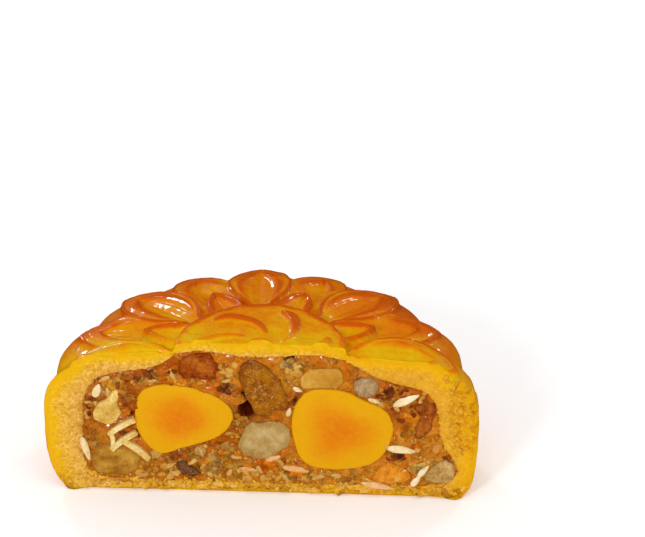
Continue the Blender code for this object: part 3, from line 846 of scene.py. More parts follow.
def make_set_piece(node, segments=96, rings=56, dome=0.3, rounding=0.3, lumps=(), stands=0.0):
    """A rounded piece with the solid's outline. lumps holds (height, size, seed) in mm."""
    piece = SET_PIECES[node]
    bpy.ops.object.select_all(action="DESELECT")
    bpy.ops.mesh.primitive_uv_sphere_add(
        segments=segments, ring_count=rings, rotation=(math.pi / 2, 0, 0)
    )
    bpy.ops.object.transform_apply(rotation=True)
    made = named(node + "_piece")
    x, y, z = vertices_of(made.data).T
    from_front = np.arccos((-y).clip(-1, 1)) / math.pi
    angle = np.arctan2(z, x)
    face_ends, edge_ends, face_share = 0.60, 0.72, 0.955
    on_face = (from_front / face_ends).clip(0, 1) * face_share
    round_edge = ((from_front - face_ends) / (edge_ends - face_ends)).clip(0, 1) * math.pi / 2
    on_back = ((from_front - edge_ends) / (1 - edge_ends)).clip(0, 1) * math.pi / 2
    share = np.where(from_front < face_ends, on_face, face_share + (1 - face_share) * np.sin(round_edge))
    share = np.where(from_front > edge_ends, np.cos(on_back), share)
    depth = -dome * MM * (1 - (share / face_share).clip(0, 1) ** 2)
    depth = np.where(from_front > face_ends, rounding * MM * (1 - np.cos(round_edge)), depth)
    behind = rounding * MM + (piece.depth - rounding * MM) * np.sin(on_back)
    depth = np.where(from_front > edge_ends, behind, depth) - stands * MM
    reach = piece.outline.at(angle) * share
    centre_x, centre_z = piece.outline.centre
    points = np.column_stack([
        centre_x + reach * np.cos(angle), depth, centre_z + reach * np.sin(angle)
    ])
    for height, size, seed in lumps:
        points[:, 1] += height * MM * wobble(points, size * MM, seed)
    move_vertices(made.data, points)
    keep_values(made.data, "share", np.where(from_front > edge_ends, 1, share))
    merge_and_face_outwards(made)
    smooth_shading(made)
    settle(made)
    return made


# --- Seeds, slivers, bits and crumbs ---------------------------------------------------------------


def take_mesh():
    """The mesh of the object that was just made, without the object."""
    obj = bpy.context.object
    mesh = obj.data
    bpy.data.objects.remove(obj)
    return mesh


def lump_pattern(subdivisions):
    bpy.ops.mesh.primitive_ico_sphere_add(subdivisions=subdivisions, radius=0.5)
    return take_mesh()


def seed_pattern(segments, rings, taper):
    """A flat seed of length 1 along X, which narrows towards one end and has a thin rim."""
    bpy.ops.mesh.primitive_uv_sphere_add(
        segments=segments, ring_count=rings, radius=0.5, rotation=(0, math.pi / 2, 0)
    )
    bpy.ops.object.transform_apply(rotation=True)
    mesh = take_mesh()
    x, y, z = vertices_of(mesh).T
    narrow = 1 - taper * (x + 0.5) ** 1.5
    swell = 0.72 + 0.28 * np.cos(z / 0.5 * math.pi / 2)
    move_vertices(mesh, np.column_stack([x, y * swell * narrow, z * narrow]))
    return mesh


def sliver_pattern():
    """A stick of length 1 along X, bent a little, with its long edges taken off."""
    bpy.ops.mesh.primitive_cube_add(size=1)
    stick = bpy.context.object
    edit(stick)
    bpy.ops.mesh.select_all(action="SELECT")
    bpy.ops.mesh.subdivide(number_cuts=5)
    done()
    rounding = stick.modifiers.new("edges", "BEVEL")
    rounding.width = 0.07
    rounding.segments = 2
    rounding.limit_method = "ANGLE"
    bpy.ops.object.modifier_apply(modifier="edges")
    mesh = take_mesh()
    x, y, z = vertices_of(mesh).T
    move_vertices(mesh, np.column_stack([x, y, z + 0.22 * np.cos(x * math.pi) - 0.1]))
    return mesh


def copies_of(name, pattern, matrices):
    """One object with a copy of the pattern for every matrix."""
    work = bmesh.new()
    for matrix in matrices:
        copy = pattern.copy()
        copy.transform(matrix)
        work.from_mesh(copy)
        bpy.data.meshes.remove(copy)
    mesh = bpy.data.meshes.new(name)
    work.to_mesh(mesh)
    work.free()
    made = bpy.data.objects.new(name, mesh)
    bpy.context.scene.collection.objects.link(made)
    return made


def roughen(obj, *lumps):
    """Pushes the surface in and out by noise. lumps holds (height, size, seed) in mm."""
    for height, size, seed in lumps:
        points = vertices_of(obj.data)
        swell = height * MM * wobble(points, size * MM, seed)
        move_vertices(obj.data, points + normals_of(obj.data) * swell[:, None])


def lying(start, end, width, thickness, depth):
    """The matrix that lays a pattern of length 1 on the cut, from one (x, z) in mm to another."""
    (x0, z0), (x1, z1) = start, end
    length = math.hypot(x1 - x0, z1 - z0)
    turn = Matrix.Rotation(-math.atan2(z1 - z0, x1 - x0), 4, "Y")
    size = Matrix.Diagonal((length * MM, thickness * MM, width * MM, 1))
    place = Vector(((x0 + x1) / 2 * MM, depth * MM, (z0 + z1) / 2 * MM))
    return Matrix.Translation(place) @ turn @ size


def free_spots(chance, patches):
    """(x, z, size) in mm of bits scattered over patches of the paste, clear of the set pieces.

    patches holds (x, z, reach across, reach up, count, smallest, largest).
    """
    spots = []
    for px, pz, wide, high, count, smallest, largest in patches:
        for _ in range(count):
            for _ in range(30):
                x, z = px + wide * chance.uniform(-1, 1), pz + high * chance.uniform(-1, 1)
                size = smallest + (largest - smallest) * chance.random() ** 1.6
                at = np.array([x * MM]), np.array([z * MM])
                clear = min(-p.outline.inside(*at)[0] for p in SET_PIECES.values())
                if paste_depth(*at)[0] > DEEP_PIT:
                    continue
                if clear > 0.30 * size * MM and HOLLOW.inside(*at)[0] > 0.30 * size * MM:
                    spots.append((x, z, size))
                    break
    return spots


def scattered(name, pattern, chance, patches, flat=0.62, long=1.35, sunk=0.10):
    """Bits half sunk in the paste, with their faces cut nearly flush."""
    spots = free_spots(chance, patches)
    x, z, size = np.array(spots).T
    depth = paste_depth(x * MM, z * MM).clip(0) / MM
    matrices = []
    for px, pz, width, behind in zip(x, z, size, depth):
        stretch_by = chance.uniform(1, long)
        scale = Matrix.Diagonal((width * stretch_by * MM, width * flat * MM, width / stretch_by * MM, 1))
        turn = Euler((chance.uniform(-0.4, 0.4), chance.uniform(0, 6.3), chance.uniform(-0.4, 0.4)))
        place = Vector((px * MM, (min(behind, 0.8) + sunk * width) * MM, pz * MM))
        matrices.append(Matrix.Translation(place) @ turn.to_matrix().to_4x4() @ scale)
    return copies_of(name, pattern, matrices)


def make_jam_bits(pattern, chance):
    """Pieces of jam and nut that take the colour of the paste about them, each a little off it."""
    jam = scattered("jam_bits", pattern, chance, JAM_BITS, flat=0.45, long=1.7, sunk=0.17)
    each = len(pattern.vertices)
    points = vertices_of(jam.data)
    centres = points.reshape(-1, each, 3).mean(axis=1)
    mixed = paste_colours(centres[:, 0], centres[:, 2])
    names = [entry[0] for entry in JAM_TINTS]
    for number in range(len(centres)):
        code = chance.choices(names, [entry[2] for entry in JAM_TINTS])[0]
        most = JAM_TINTS[names.index(code)][1]
        share = most * chance.uniform(0.3, 1)
        mixed[number] = mixed[number] * (1 - share) + np.array(tint(code)[:3]) * share
    keep_colours(jam.data, "paste", np.repeat(mixed, each, axis=0))
    finish_bits(jam, make_jam(), 0.05, [(0.22, 0.9, 1.0), (0.10, 0.4, 5.0)], 45)


def finish_bits(obj, look, flush=0.45, lumps=((0.18, 0.9, 1.0),), smooth=180):
    """Roughens bits, flattens what stands out of the cut by more than flush mm, and dresses them."""
    roughen(obj, *lumps)
    points = vertices_of(obj.data)
    front = -flush * MM
    y = points[:, 1]
    points[:, 1] = np.where(y < front, front + (y - front) * 0.15, y)
    move_vertices(obj.data, points)
    smooth_shading(obj, smooth)
    settle(obj)
    dress(obj, look)


# Patches with bits in them: x, height, reach across, reach up, how many, smallest and largest
# size. All but the number of bits are in mm.
AMBER_BITS = [
    (-9.5, 7.0, 5.0, 3.2, 40, 1.0, 2.6), (-19.0, 6.2, 7.0, 2.2, 34, 0.8, 2.0),
    (-29.5, 24.0, 4.0, 2.6, 14, 1.0, 2.2), (-33.2, 15.0, 1.2, 6.0, 14, 0.8, 1.8),
    (0.0, 6.0, 6.0, 1.8, 20, 0.8, 2.2), (12.0, 4.6, 8.0, 1.4, 34, 0.8, 2.2),
    (28.5, 12.0, 3.6, 5.0, 34, 0.9, 2.2), (6.5, 28.0, 2.2, 3.0, 12, 0.8, 1.8),
    (-6.2, 27.0, 1.8, 2.6, 10, 0.8, 1.8), (-15.5, 26.0, 9.0, 1.4, 24, 0.8, 1.8),
    (26.5, 22.5, 4.0, 2.6, 14, 0.9, 2.0), (35.0, 6.5, 2.6, 2.6, 8, 0.8, 1.6),
    (-5.0, 15.5, 2.0, 6.0, 14, 0.8, 1.8), (11.0, 30.2, 5.0, 0.9, 14, 0.8, 1.6),
]
JAM_BITS = [(0.0, 15.5, 36.5, 14.0, 210, 1.2, 4.2), (0.0, 5.5, 34.0, 2.4, 90, 1.0, 3.0)]
# What a piece of the jam is tinted with: its colour, the most of it, and how many take it.
JAM_TINTS = [
    ("e69c28", 0.50, 0.28), ("6a1c00", 0.45, 0.22), ("e06800", 0.60, 0.24), ("e8b860", 0.50, 0.10),
    ("a86400", 0.60, 0.16),
]
BROWN_BITS = [
    (-26.0, 22.5, 2.2, 3.0, 9, 1.2, 2.6), (-20.0, 26.6, 5.0, 1.2, 12, 1.0, 2.2),
    (-33.0, 19.0, 1.0, 4.0, 7, 1.0, 2.0), (-13.0, 8.6, 5.0, 1.5, 10, 0.8, 1.8),
    (26.0, 24.2, 3.0, 1.2, 9, 1.2, 2.6), (26.2, 19.4, 1.4, 1.6, 4, 1.6, 2.8),
    (25.6, 9.4, 2.6, 1.2, 7, 1.2, 2.4), (-6.4, 24.0, 1.2, 1.2, 4, 1.4, 2.6),
    (-26.0, 14.5, 1.6, 1.2, 4, 1.0, 1.8), (31.2, 21.0, 2.0, 3.0, 6, 0.8, 1.8),
    (36.8, 8.2, 1.0, 1.4, 3, 0.8, 1.4), (6.8, 21.5, 0.7, 2.5, 4, 1.0, 1.8),
    (3.0, 6.6, 9.0, 1.6, 10, 0.7, 1.6),
]
ORANGE_BITS = [
    (-0.2, 6.9, 2.0, 1.0, 4, 2.2, 3.6), (-29.0, 21.8, 2.6, 2.8, 9, 1.2, 2.6),
    (24.0, 5.0, 4.0, 1.6, 9, 1.2, 2.6), (-14.0, 26.2, 6.0, 1.3, 10, 1.0, 2.2),
    (29.2, 17.0, 1.2, 2.0, 5, 1.6, 2.8), (-8.0, 9.0, 4.0, 3.0, 8, 1.0, 2.0),
    (28.0, 13.5, 3.0, 1.6, 6, 1.0, 2.0), (8.0, 5.6, 3.0, 1.2, 5, 1.2, 2.4),
]
PALE_BITS = [
    (6.2, 28.6, 1.8, 2.0, 9, 1.0, 2.2), (-5.8, 28.4, 1.8, 1.4, 7, 1.0, 2.0),
    (-33.0, 20.0, 1.2, 4.0, 8, 0.7, 1.5), (3.0, 4.6, 8.0, 1.0, 26, 0.8, 2.0),
    (-16.0, 5.0, 9.0, 1.3, 30, 0.7, 1.8), (-9.0, 8.4, 3.0, 3.0, 12, 0.8, 1.8),
    (22.8, 21.8, 1.4, 1.0, 5, 0.9, 1.8), (30.0, 8.6, 3.0, 3.0, 12, 0.7, 1.5),
    (32.0, 22.6, 1.6, 1.4, 6, 0.7, 1.4), (-25.0, 24.8, 6.0, 2.0, 12, 0.6, 1.3),
    (19.0, 4.2, 5.0, 1.2, 14, 0.8, 1.8),
]
GLASSY_BITS = [
    (5.2, 29.4, 1.2, 1.0, 5, 1.2, 2.2), (-9.0, 8.0, 3.4, 3.0, 10, 1.6, 2.8),
    (-30.0, 8.0, 3.0, 3.0, 5, 1.2, 2.2), (33.0, 8.6, 2.4, 2.4, 5, 1.2, 2.2),
    (24.4, 21.4, 2.2, 1.0, 4, 0.8, 1.6), (-31.5, 22.8, 0.6, 1.4, 4, 1.1, 2.0),
]
# Each seed, from its blunt end to its tip: x, height, x, height, width, in mm.
MELON_SEEDS = [
    (25.9, 21.2, 31.0, 23.8, 2.0), (24.9, 11.6, 30.5, 10.9, 2.0), (-35.2, 12.3, -33.7, 6.9, 1.7),
    (29.6, 2.9, 31.4, 5.6, 1.5), (30.9, 5.2, 33.0, 7.9, 1.5), (6.4, 24.7, 8.2, 23.9, 1.2),
    (5.4, 18.2, 5.8, 20.2, 1.2), (21.0, 22.6, 23.4, 21.8, 1.1), (-32.4, 21.4, -31.4, 24.4, 1.9),
]
SLIVERS = [
    (-29.9, 13.2, -24.7, 16.7, 1.1), (-29.4, 9.8, -24.4, 13.8, 1.15), (-27.5, 12.3, -21.8, 7.8, 1.25),
    (-29.3, 13.6, -28.9, 10.4, 0.9),
]
ALMOND_SLICES = [
    (3.9, 6.5, 10.2, 5.6, 1.7), (19.6, 3.4, 26.6, 2.0, 1.7), (0.8, 7.7, 4.0, 9.0, 1.4),
    (-4.2, 6.0, -0.4, 5.6, 1.5),
]


def make_bits():
    chance = random.Random(8)
    lump = lump_pattern(3)
    small_lump = lump_pattern(2)
    seed = seed_pattern(24, 14, 0.45)
    make_jam_bits(small_lump, chance)
    finish_bits(
        scattered("amber_bits", small_lump, chance, AMBER_BITS),
        make_translucent("amber_jelly", "8c4608", "ba7018", "dca040", 500.0, sugar_and_glints=0.1),
        flush=0.1, smooth=45,
    )
    finish_bits(
        scattered("brown_bits", lump, chance, BROWN_BITS),
        make_translucent("brown_candied_bits", "5c1f06", "8c3c0c", "b8641c", 500.0, sugar_and_glints=0.06),
        flush=0.1, smooth=60,
    )
    finish_bits(
        scattered("orange_bits", lump, chance, ORANGE_BITS),
        make_translucent("orange_candied_bits", "b84400", "dc7204", "ecaa30", 500.0, sugar_and_glints=0.08),
        flush=0.1, smooth=60,
    )
    finish_bits(
        scattered("pale_bits", small_lump, chance, PALE_BITS),
        make_dull("chopped_nut", "a87424", "c89038", "dcb060", 900.0), flush=0.15, smooth=45,
    )
    finish_bits(
        scattered("glassy_bits", lump, chance, GLASSY_BITS, flat=0.8),
        make_translucent("glassy_sugar", "8c5418", "b07830", "cc9c54", 520.0, sugar_and_glints=0.25),
        flush=0.1, smooth=60,
    )
    nut_white = make_dull("seed_kernel", "cfa468", "e6cb96", "f4e6c4", 500.0)
    rows = [lying((x0, z0), (x1, z1), w, w * 0.5, -0.05) for x0, z0, x1, z1, w in MELON_SEEDS]
    finish_bits(copies_of("melon_seeds", seed, rows), nut_white, 0.9, [(0.08, 1.2, 4.0)])
    rows = [lying((x0, z0), (x1, z1), w, 1.0, -0.15) for x0, z0, x1, z1, w in SLIVERS]
    finish_bits(
        copies_of("almond_slivers", sliver_pattern(), rows),
        make_dull("almond_sliver", "b88434", "dcb868", "f0d8a0", 600.0), 0.9,
        [(0.05, 1.0, 2.0)], smooth=30,
    )
    rows = [lying((x0, z0), (x1, z1), w, 1.2, 0.15) for x0, z0, x1, z1, w in ALMOND_SLICES]
    finish_bits(
        copies_of("almond_slices", seed, rows),
        make_dull("almond_slice", "d08c48", "e2aa6c", "eecba0", 600.0), 0.5, [(0.15, 1.4, 6.0)],
    )
    spots = free_spots(chance, [
        (-22.0, 6.0, 9.0, 2.0, 3, 1, 1), (-8.0, 8.0, 4.0, 4.0, 4, 1, 1),
        (28.0, 14.0, 4.0, 7.0, 3, 1, 1), (-29.0, 22.0, 4.0, 4.0, 2, 1, 1),
        (8.0, 5.0, 10.0, 1.6, 4, 1, 1), (-14.0, 26.5, 8.0, 1.2, 3, 1, 1),
    ])
    rows = []
    for x, z, _ in spots:
        turn = chance.uniform(0, 6.3)
        dx, dz = 1.25 * math.cos(turn), 1.25 * math.sin(turn)
        rows.append(lying((x - dx, z - dz), (x + dx, z + dz), 1.35, 0.8, 0.1))
    finish_bits(
        copies_of("sesame_seeds", seed_pattern(14, 8, 0.55), rows),
        make_dull("sesame", "b07c34", "cc9c50", "e0bc80", 900.0), 0.6, [(0.05, 0.8, 2.0)],
    )


def make_crust_crumbs(look):
    """Loose grains of crumb along the cut's lower edge and on the torn end."""
    chance = random.Random(21)
    outer = outer_reach()
    matrices = []
    for _ in range(760):
        low = chance.random() < 0.66
        if low:
            x, z = chance.uniform(-35, 37), 0.9 + 3.6 * chance.random()
        else:
            x, z = chance.uniform(35, 41.5), chance.uniform(9, 30)
        size = 0.4 + 1.1 * chance.random() ** 2
        at = np.array([x * MM]), np.array([z * MM])
        over_the_paste = 0.9 * MM if low else -0.3 * MM
        if HOLLOW.inside(*at)[0] > over_the_paste or outer.inside(*at)[0] < (0.2 + 0.6 * size) * MM:
            continue
        behind = crumb_depth(at[0], at[1], np.array([2 * MM]))[0] / MM
        scale = Matrix.Diagonal([size * chance.uniform(0.7, 1.2) * MM for _ in range(3)] + [1])
        turn = Euler([chance.uniform(0, 6.3) for _ in range(3)]).to_matrix().to_4x4()
        place = Vector((x, max(behind, 0.1) + 0.30 * size, max(z, 0.6 * size))) * MM
        matrices.append(Matrix.Translation(place) @ turn @ scale)
    crumbs = copies_of("crust_crumbs", lump_pattern(2), matrices)
    roughen(crumbs, (0.34, 0.55, 3.0))
    points = vertices_of(crumbs.data)
    points[:, 2] = points[:, 2].clip(0.05 * MM)
    move_vertices(crumbs.data, points)
    count = len(points)
    looks = dict(browned_and_shaded=0, glazed=0, cut=1, inward=3.5, torn=0, grainy=1, golden=0.6)
    for name, value in looks.items():
        keep_values(crumbs.data, name, np.full(count, value))
    keep_values(crumbs.data, "low", 1 - smooth_step(4.5 * MM, 7 * MM, points[:, 2]))
    smooth_shading(crumbs)
    settle(crumbs)
    dress(crumbs, look)


# --- Materials -------------------------------------------------------------------------------------


def tint(code):
    """A colour written as on a screen, RRGGBB, in the linear values that a shader takes."""
    parts = [int(code[i : i + 2], 16) / 255 for i in (0, 2, 4)]
    return tuple(c / 12.92 if c <= 0.04045 else ((c + 0.055) / 1.055) ** 2.4 for c in parts) + (1,)


def add_node(tree, kind, inputs=None, **settings):
    made = tree.nodes.new("ShaderNode" + kind)
    for name, value in settings.items():
        setattr(made, name, value)
    for name, value in (inputs or {}).items():
        if isinstance(value, bpy.types.NodeSocket):
            tree.links.new(value, made.inputs[name])
        else:
            made.inputs[name].default_value = value
    return made


def math_node(tree, operation, a, b=0.0, clamp=False):
    return add_node(tree, "Math", {0: a, 1: b}, operation=operation, use_clamp=clamp).outputs[0]


def mix_colours(tree, share, a, b, way="MIX"):
    return add_node(tree, "Mix", {0: share, 6: a, 7: b}, data_type="RGBA", blend_type=way).outputs[2]


def ramp(tree, value, stops):
    made = add_node(tree, "ValToRGB", {"Fac": value})
    elements = made.color_ramp.elements
    while len(elements) < len(stops):
        elements.new(0.5)
    for element, (place, colour) in zip(elements, stops):
        element.position = place
        element.color = tint(colour) if isinstance(colour, str) else (colour,) * 3 + (1,)
    return made.outputs["Color"]


def stretch(tree, value, low, high):
    return add_node(
        tree, "MapRange", {"Value": value, "From Min": low, "From Max": high}, clamp=True
    ).outputs["Result"]


def new_group(name, inputs, outputs):
    tree = bpy.data.node_groups.new(name, "ShaderNodeTree")
    for kind, sockets in (("INPUT", inputs), ("OUTPUT", outputs)):
        for socket, form in sockets.items():
            tree.interface.new_socket(name=socket, in_out=kind, socket_type="NodeSocket" + form)
    return tree, tree.nodes.new("NodeGroupInput"), tree.nodes.new("NodeGroupOutput")


def make_mottling():
    """Soft patches at two scales, as a mask from 0 to 1."""
    tree, given, out = new_group(
        "mottling", {"Vector": "Vector", "Scale": "Float", "Contrast": "Float"}, {"Mask": "Float"}
    )
    wide = add_node(
        tree, "TexNoise",
        {"Vector": given.outputs["Vector"], "Scale": given.outputs["Scale"], "Detail": 4.0},
    )
    centred = math_node(tree, "SUBTRACT", wide.outputs["Fac"], 0.5)
    harder = math_node(tree, "MULTIPLY", centred, given.outputs["Contrast"])
    mask = math_node(tree, "ADD", harder, 0.5, clamp=True)
    tree.links.new(mask, out.inputs["Mask"])
    return tree


def make_grains():
    """Crumbs or bits: a value for each, and how high each stands."""
    tree, given, out = new_group(
        "grains", {"Vector": "Vector", "Scale": "Float"}, {"Each": "Float", "Height": "Float"}
    )
    bend = add_node(
        tree, "TexNoise", {"Vector": given.outputs["Vector"], "Scale": 900.0, "Detail": 2.0}
    )
    shift = add_node(
        tree, "VectorMath", {0: bend.outputs["Color"], "Scale": 0.0006}, operation="SCALE"
    )
    place = add_node(
        tree, "VectorMath", {0: given.outputs["Vector"], 1: shift.outputs[0]}, operation="ADD"
    )
    cells = add_node(
        tree, "TexVoronoi", {"Vector": place.outputs[0], "Scale": given.outputs["Scale"]}
    )
    value = add_node(tree, "SeparateColor", {"Color": cells.outputs["Color"]})
    tree.links.new(value.outputs[0], out.inputs["Each"])
    height = math_node(tree, "SUBTRACT", 1.0, cells.outputs["Distance"], clamp=True)
    tree.links.new(height, out.inputs["Height"])
    return tree


MOTTLING = make_mottling()
GRAINS = make_grains()


SHEEN = 0.03  # the reflection of the bare surface, which is low so that colours stay deep


class Finish:
    """A material under construction, with its place on the object and its Principled shader."""

    def __init__(self, name, roughness=0.5, **uniform):
        self.material = bpy.data.materials.new(name)
        self.material.use_nodes = True
        self.tree = self.material.node_tree
        self.shader = self.tree.nodes["Principled BSDF"]
        self.place = add_node(self.tree, "TexCoord").outputs["Object"]
        self.shader.inputs["Roughness"].default_value = roughness
        self.shader.inputs["Specular IOR Level"].default_value = SHEEN
        for socket, value in uniform.items():
            self.shader.inputs[socket.replace("_", " ")].default_value = value

    def group(self, group, **values):
        made = self.tree.nodes.new("ShaderNodeGroup")
        made.node_tree = group
        self.tree.links.new(self.place, made.inputs["Vector"])
        for socket, value in values.items():
            made.inputs[socket].default_value = value
        return made.outputs

    def value(self, name):
        return add_node(self.tree, "Attribute", attribute_name=name).outputs["Fac"]

    def colour(self, name):
        return add_node(self.tree, "Attribute", attribute_name=name).outputs["Color"]

    def feed(self, socket, value):
        self.tree.links.new(value, self.shader.inputs[socket])

    def bump(self, height, distance, strength=1.0):
        made = add_node(
            self.tree, "Bump", {"Height": height, "Distance": distance, "Strength": strength}
        )
        self.tree.links.new(made.outputs["Normal"], self.shader.inputs["Normal"])


def make_baked_crust():
    """Glazed skin, yellow in its hollows and orange on its ridges, and the crumb that was cut."""
    it = Finish("baked_crust", Coat_Roughness=0.09, Coat_IOR=1.45)
    tree = it.tree
    cut = it.value("cut")
    torn_away = it.value("torn")
    grainy = math_node(tree, "MAXIMUM", it.value("grainy"), torn_away)
    patches = it.group(MOTTLING, Scale=130.0, Contrast=2.2)["Mask"]
    freckles = it.group(MOTTLING, Scale=900.0, Contrast=2.5)["Mask"]
    browned_and_shaded = math_node(tree, "ADD", it.value("browned_and_shaded"), math_node(tree, "MULTIPLY", patches, 0.32))
    ripples = it.group(MOTTLING, Scale=360.0, Contrast=2.0)["Mask"]
    browned_and_shaded = math_node(tree, "ADD", browned_and_shaded, math_node(tree, "MULTIPLY", freckles, 0.12))
    browned_and_shaded = math_node(tree, "ADD", browned_and_shaded, math_node(tree, "MULTIPLY", ripples, 0.16))
    # The skin's colour follows its browning, which also carries the painted shadow on the back right.
    skin = ramp(tree, browned_and_shaded, [
        (0.18, "deb208"), (0.38, "e09c00"), (0.54, "e08600"), (0.78, "da6a00"), (1.0, "c85600"),
    ])

    crumbs = it.group(GRAINS, Scale=1500.0)
    fine = it.group(GRAINS, Scale=3600.0)
    inward = math_node(tree, "MULTIPLY", it.value("inward"), 0.125)
    dough = ramp(tree, inward, [
        (0.0, "dea808"), (0.26, "e2ac14"), (0.42, "e6b038"), (0.75, "e0a848"), (1.0, "d0943c"),
    ])
    shade = math_node(tree, "MULTIPLY", crumbs["Each"], fine["Each"])
    darker = stretch(tree, shade, 0.22, -0.22)
    dough = mix_colours(tree, math_node(tree, "MULTIPLY", darker, grainy), dough, tint("b47418"))
    lighter = stretch(tree, shade, 0.45, 1.1)
    dough = mix_colours(tree, math_node(tree, "MULTIPLY", lighter, grainy), dough, tint("f4cc78"))
    dough = mix_colours(tree, math_node(tree, "MULTIPLY", it.value("golden"), 0.75), dough, tint("e4a206"))
    clods = it.group(GRAINS, Scale=760.0)["Each"]
    browner = math_node(tree, "MULTIPLY", stretch(tree, clods, 0.45, 0.0), it.value("low"))
    dough = mix_colours(tree, math_node(tree, "MULTIPLY", browner, 0.75), dough, tint("a05a10"))
    paler = math_node(tree, "MULTIPLY", stretch(tree, clods, 0.72, 1.0), it.value("low"))
    dough = mix_colours(tree, math_node(tree, "MULTIPLY", paler, 0.7), dough, tint("eebe5c"))
    bare = math_node(tree, "MAXIMUM", cut, torn_away)
    it.feed("Base Color", mix_colours(tree, bare, skin, dough))
    gloss = math_node(tree, "MULTIPLY_ADD", patches, 0.16)
    gloss.node.inputs[2].default_value = 0.26
    it.feed("Roughness", add_node(tree, "Mix", {0: bare, 2: gloss, 3: 0.62}).outputs[0])
    it.feed("Coat Weight", math_node(tree, "MULTIPLY", it.value("glazed"), 0.45))
    crumb_height = math_node(tree, "ADD", crumbs["Height"], math_node(tree, "MULTIPLY", fine["Height"], 0.5))
    skin_height = math_node(tree, "MULTIPLY_ADD", freckles, 0.45)
    tree.links.new(ripples, skin_height.node.inputs[2])
    rough = math_node(tree, "MULTIPLY", bare, grainy)
    height = add_node(tree, "Mix", {0: rough, 2: skin_height, 3: crumb_height}).outputs[0]
    it.bump(height, 0.25 * MM)
    return it.material


def make_paste():
    """Sticky nut paste: translucent bits in amber and brown, with painted shade where it lies deeper."""
    it = Finish(
        "nut_filling", Coat_Weight=1.0, Coat_Roughness=0.10, Subsurface_Weight=0.3
    )
    it.shader.inputs["Subsurface Radius"].default_value = (1.0, 0.4, 0.15)
    it.shader.inputs["Subsurface Scale"].default_value = 1.2 * MM
    tree = it.tree
    bits = it.group(GRAINS, Scale=620.0)
    fine = it.group(GRAINS, Scale=1700.0)
    patches = it.group(MOTTLING, Scale=420.0, Contrast=2.4)["Mask"]
    base = it.colour("paste")
    lighter = mix_colours(tree, stretch(tree, bits["Each"], 0.62, 0.95), base, tint("e0a03c"))
    redder = mix_colours(tree, stretch(tree, bits["Each"], 0.32, 0.05), lighter, tint("8a3c06"))
    mixed = mix_colours(tree, 0.35, base, redder)
    mixed = mix_colours(tree, math_node(tree, "MULTIPLY", fine["Each"], 0.22), mixed, tint("e09a18"))
    mixed = mix_colours(tree, math_node(tree, "MULTIPLY", patches, 0.22), mixed, tint("8a3c00"))
    # Painted shade: dark red-brown where the paste lies deeper behind the cut, as in its pits.
    deep = stretch(tree, it.value("deep"), 0.5, 1.9)
    it.feed("Base Color", mix_colours(tree, deep, mixed, tint("601c04")))
    dry = math_node(tree, "MULTIPLY_ADD", fine["Each"], 0.3)
    dry.node.inputs[2].default_value = 0.15
    it.feed("Roughness", dry)
    height = math_node(tree, "ADD", bits["Height"], math_node(tree, "MULTIPLY", fine["Height"], 0.6))
    it.bump(height, 0.6 * MM)
    return it.material


def make_jam():
    """Clear sticky pieces in the paste, each with its own colour."""
    it = Finish(
        "jam_and_nut", Coat_Weight=1.0, Coat_Roughness=0.09, Subsurface_Weight=0.45
    )
    it.shader.inputs["Subsurface Radius"].default_value = (1.0, 0.4, 0.15)
    it.shader.inputs["Subsurface Scale"].default_value = 1.2 * MM
    tree = it.tree
    veins = it.group(MOTTLING, Scale=900.0, Contrast=2.4)["Mask"]
    fine = it.group(GRAINS, Scale=2600.0)
    colour = it.colour("paste")
    colour = mix_colours(tree, math_node(tree, "MULTIPLY", veins, 0.35), colour, tint("8c4808"))
    bright = math_node(tree, "MULTIPLY", stretch(tree, fine["Each"], 0.6, 1.0), 0.3)
    it.feed("Base Color", mix_colours(tree, bright, colour, tint("e8b04c")))
    dry = math_node(tree, "MULTIPLY_ADD", veins, 0.25)
    dry.node.inputs[2].default_value = 0.12
    it.feed("Roughness", dry)
    it.bump(math_node(tree, "ADD", veins, fine["Height"]), 0.15 * MM)
    return it.material


def make_yolk():
    """Waxy salted yolk, deeper orange in its middle."""
    it = Finish("salted_yolk", Coat_Weight=0.12, Coat_Roughness=0.35, Subsurface_Weight=0.15)
    it.shader.inputs["Subsurface Radius"].default_value = (1.0, 0.5, 0.1)
    it.shader.inputs["Subsurface Scale"].default_value = 1.5 * MM
    tree = it.tree
    patches = it.group(MOTTLING, Scale=120.0, Contrast=2.6)["Mask"]
    oil = it.group(MOTTLING, Scale=1100.0, Contrast=2.0)["Mask"]
    outward = math_node(tree, "ADD", it.value("share"), math_node(tree, "MULTIPLY", patches, 0.35))
    colour = ramp(tree, outward, [(0.15, "d46a00"), (0.50, "d67a00"), (0.78, "d89000"), (1.0, "d89c00")])
    it.feed("Base Color", mix_colours(tree, math_node(tree, "MULTIPLY", oil, 0.35), colour, tint("e2a000")))
    it.feed("Roughness", math_node(tree, "MULTIPLY_ADD", oil, 0.2))
    it.tree.nodes[-1].inputs[2].default_value = 0.40
    it.bump(oil, 0.14 * MM)
    return it.material


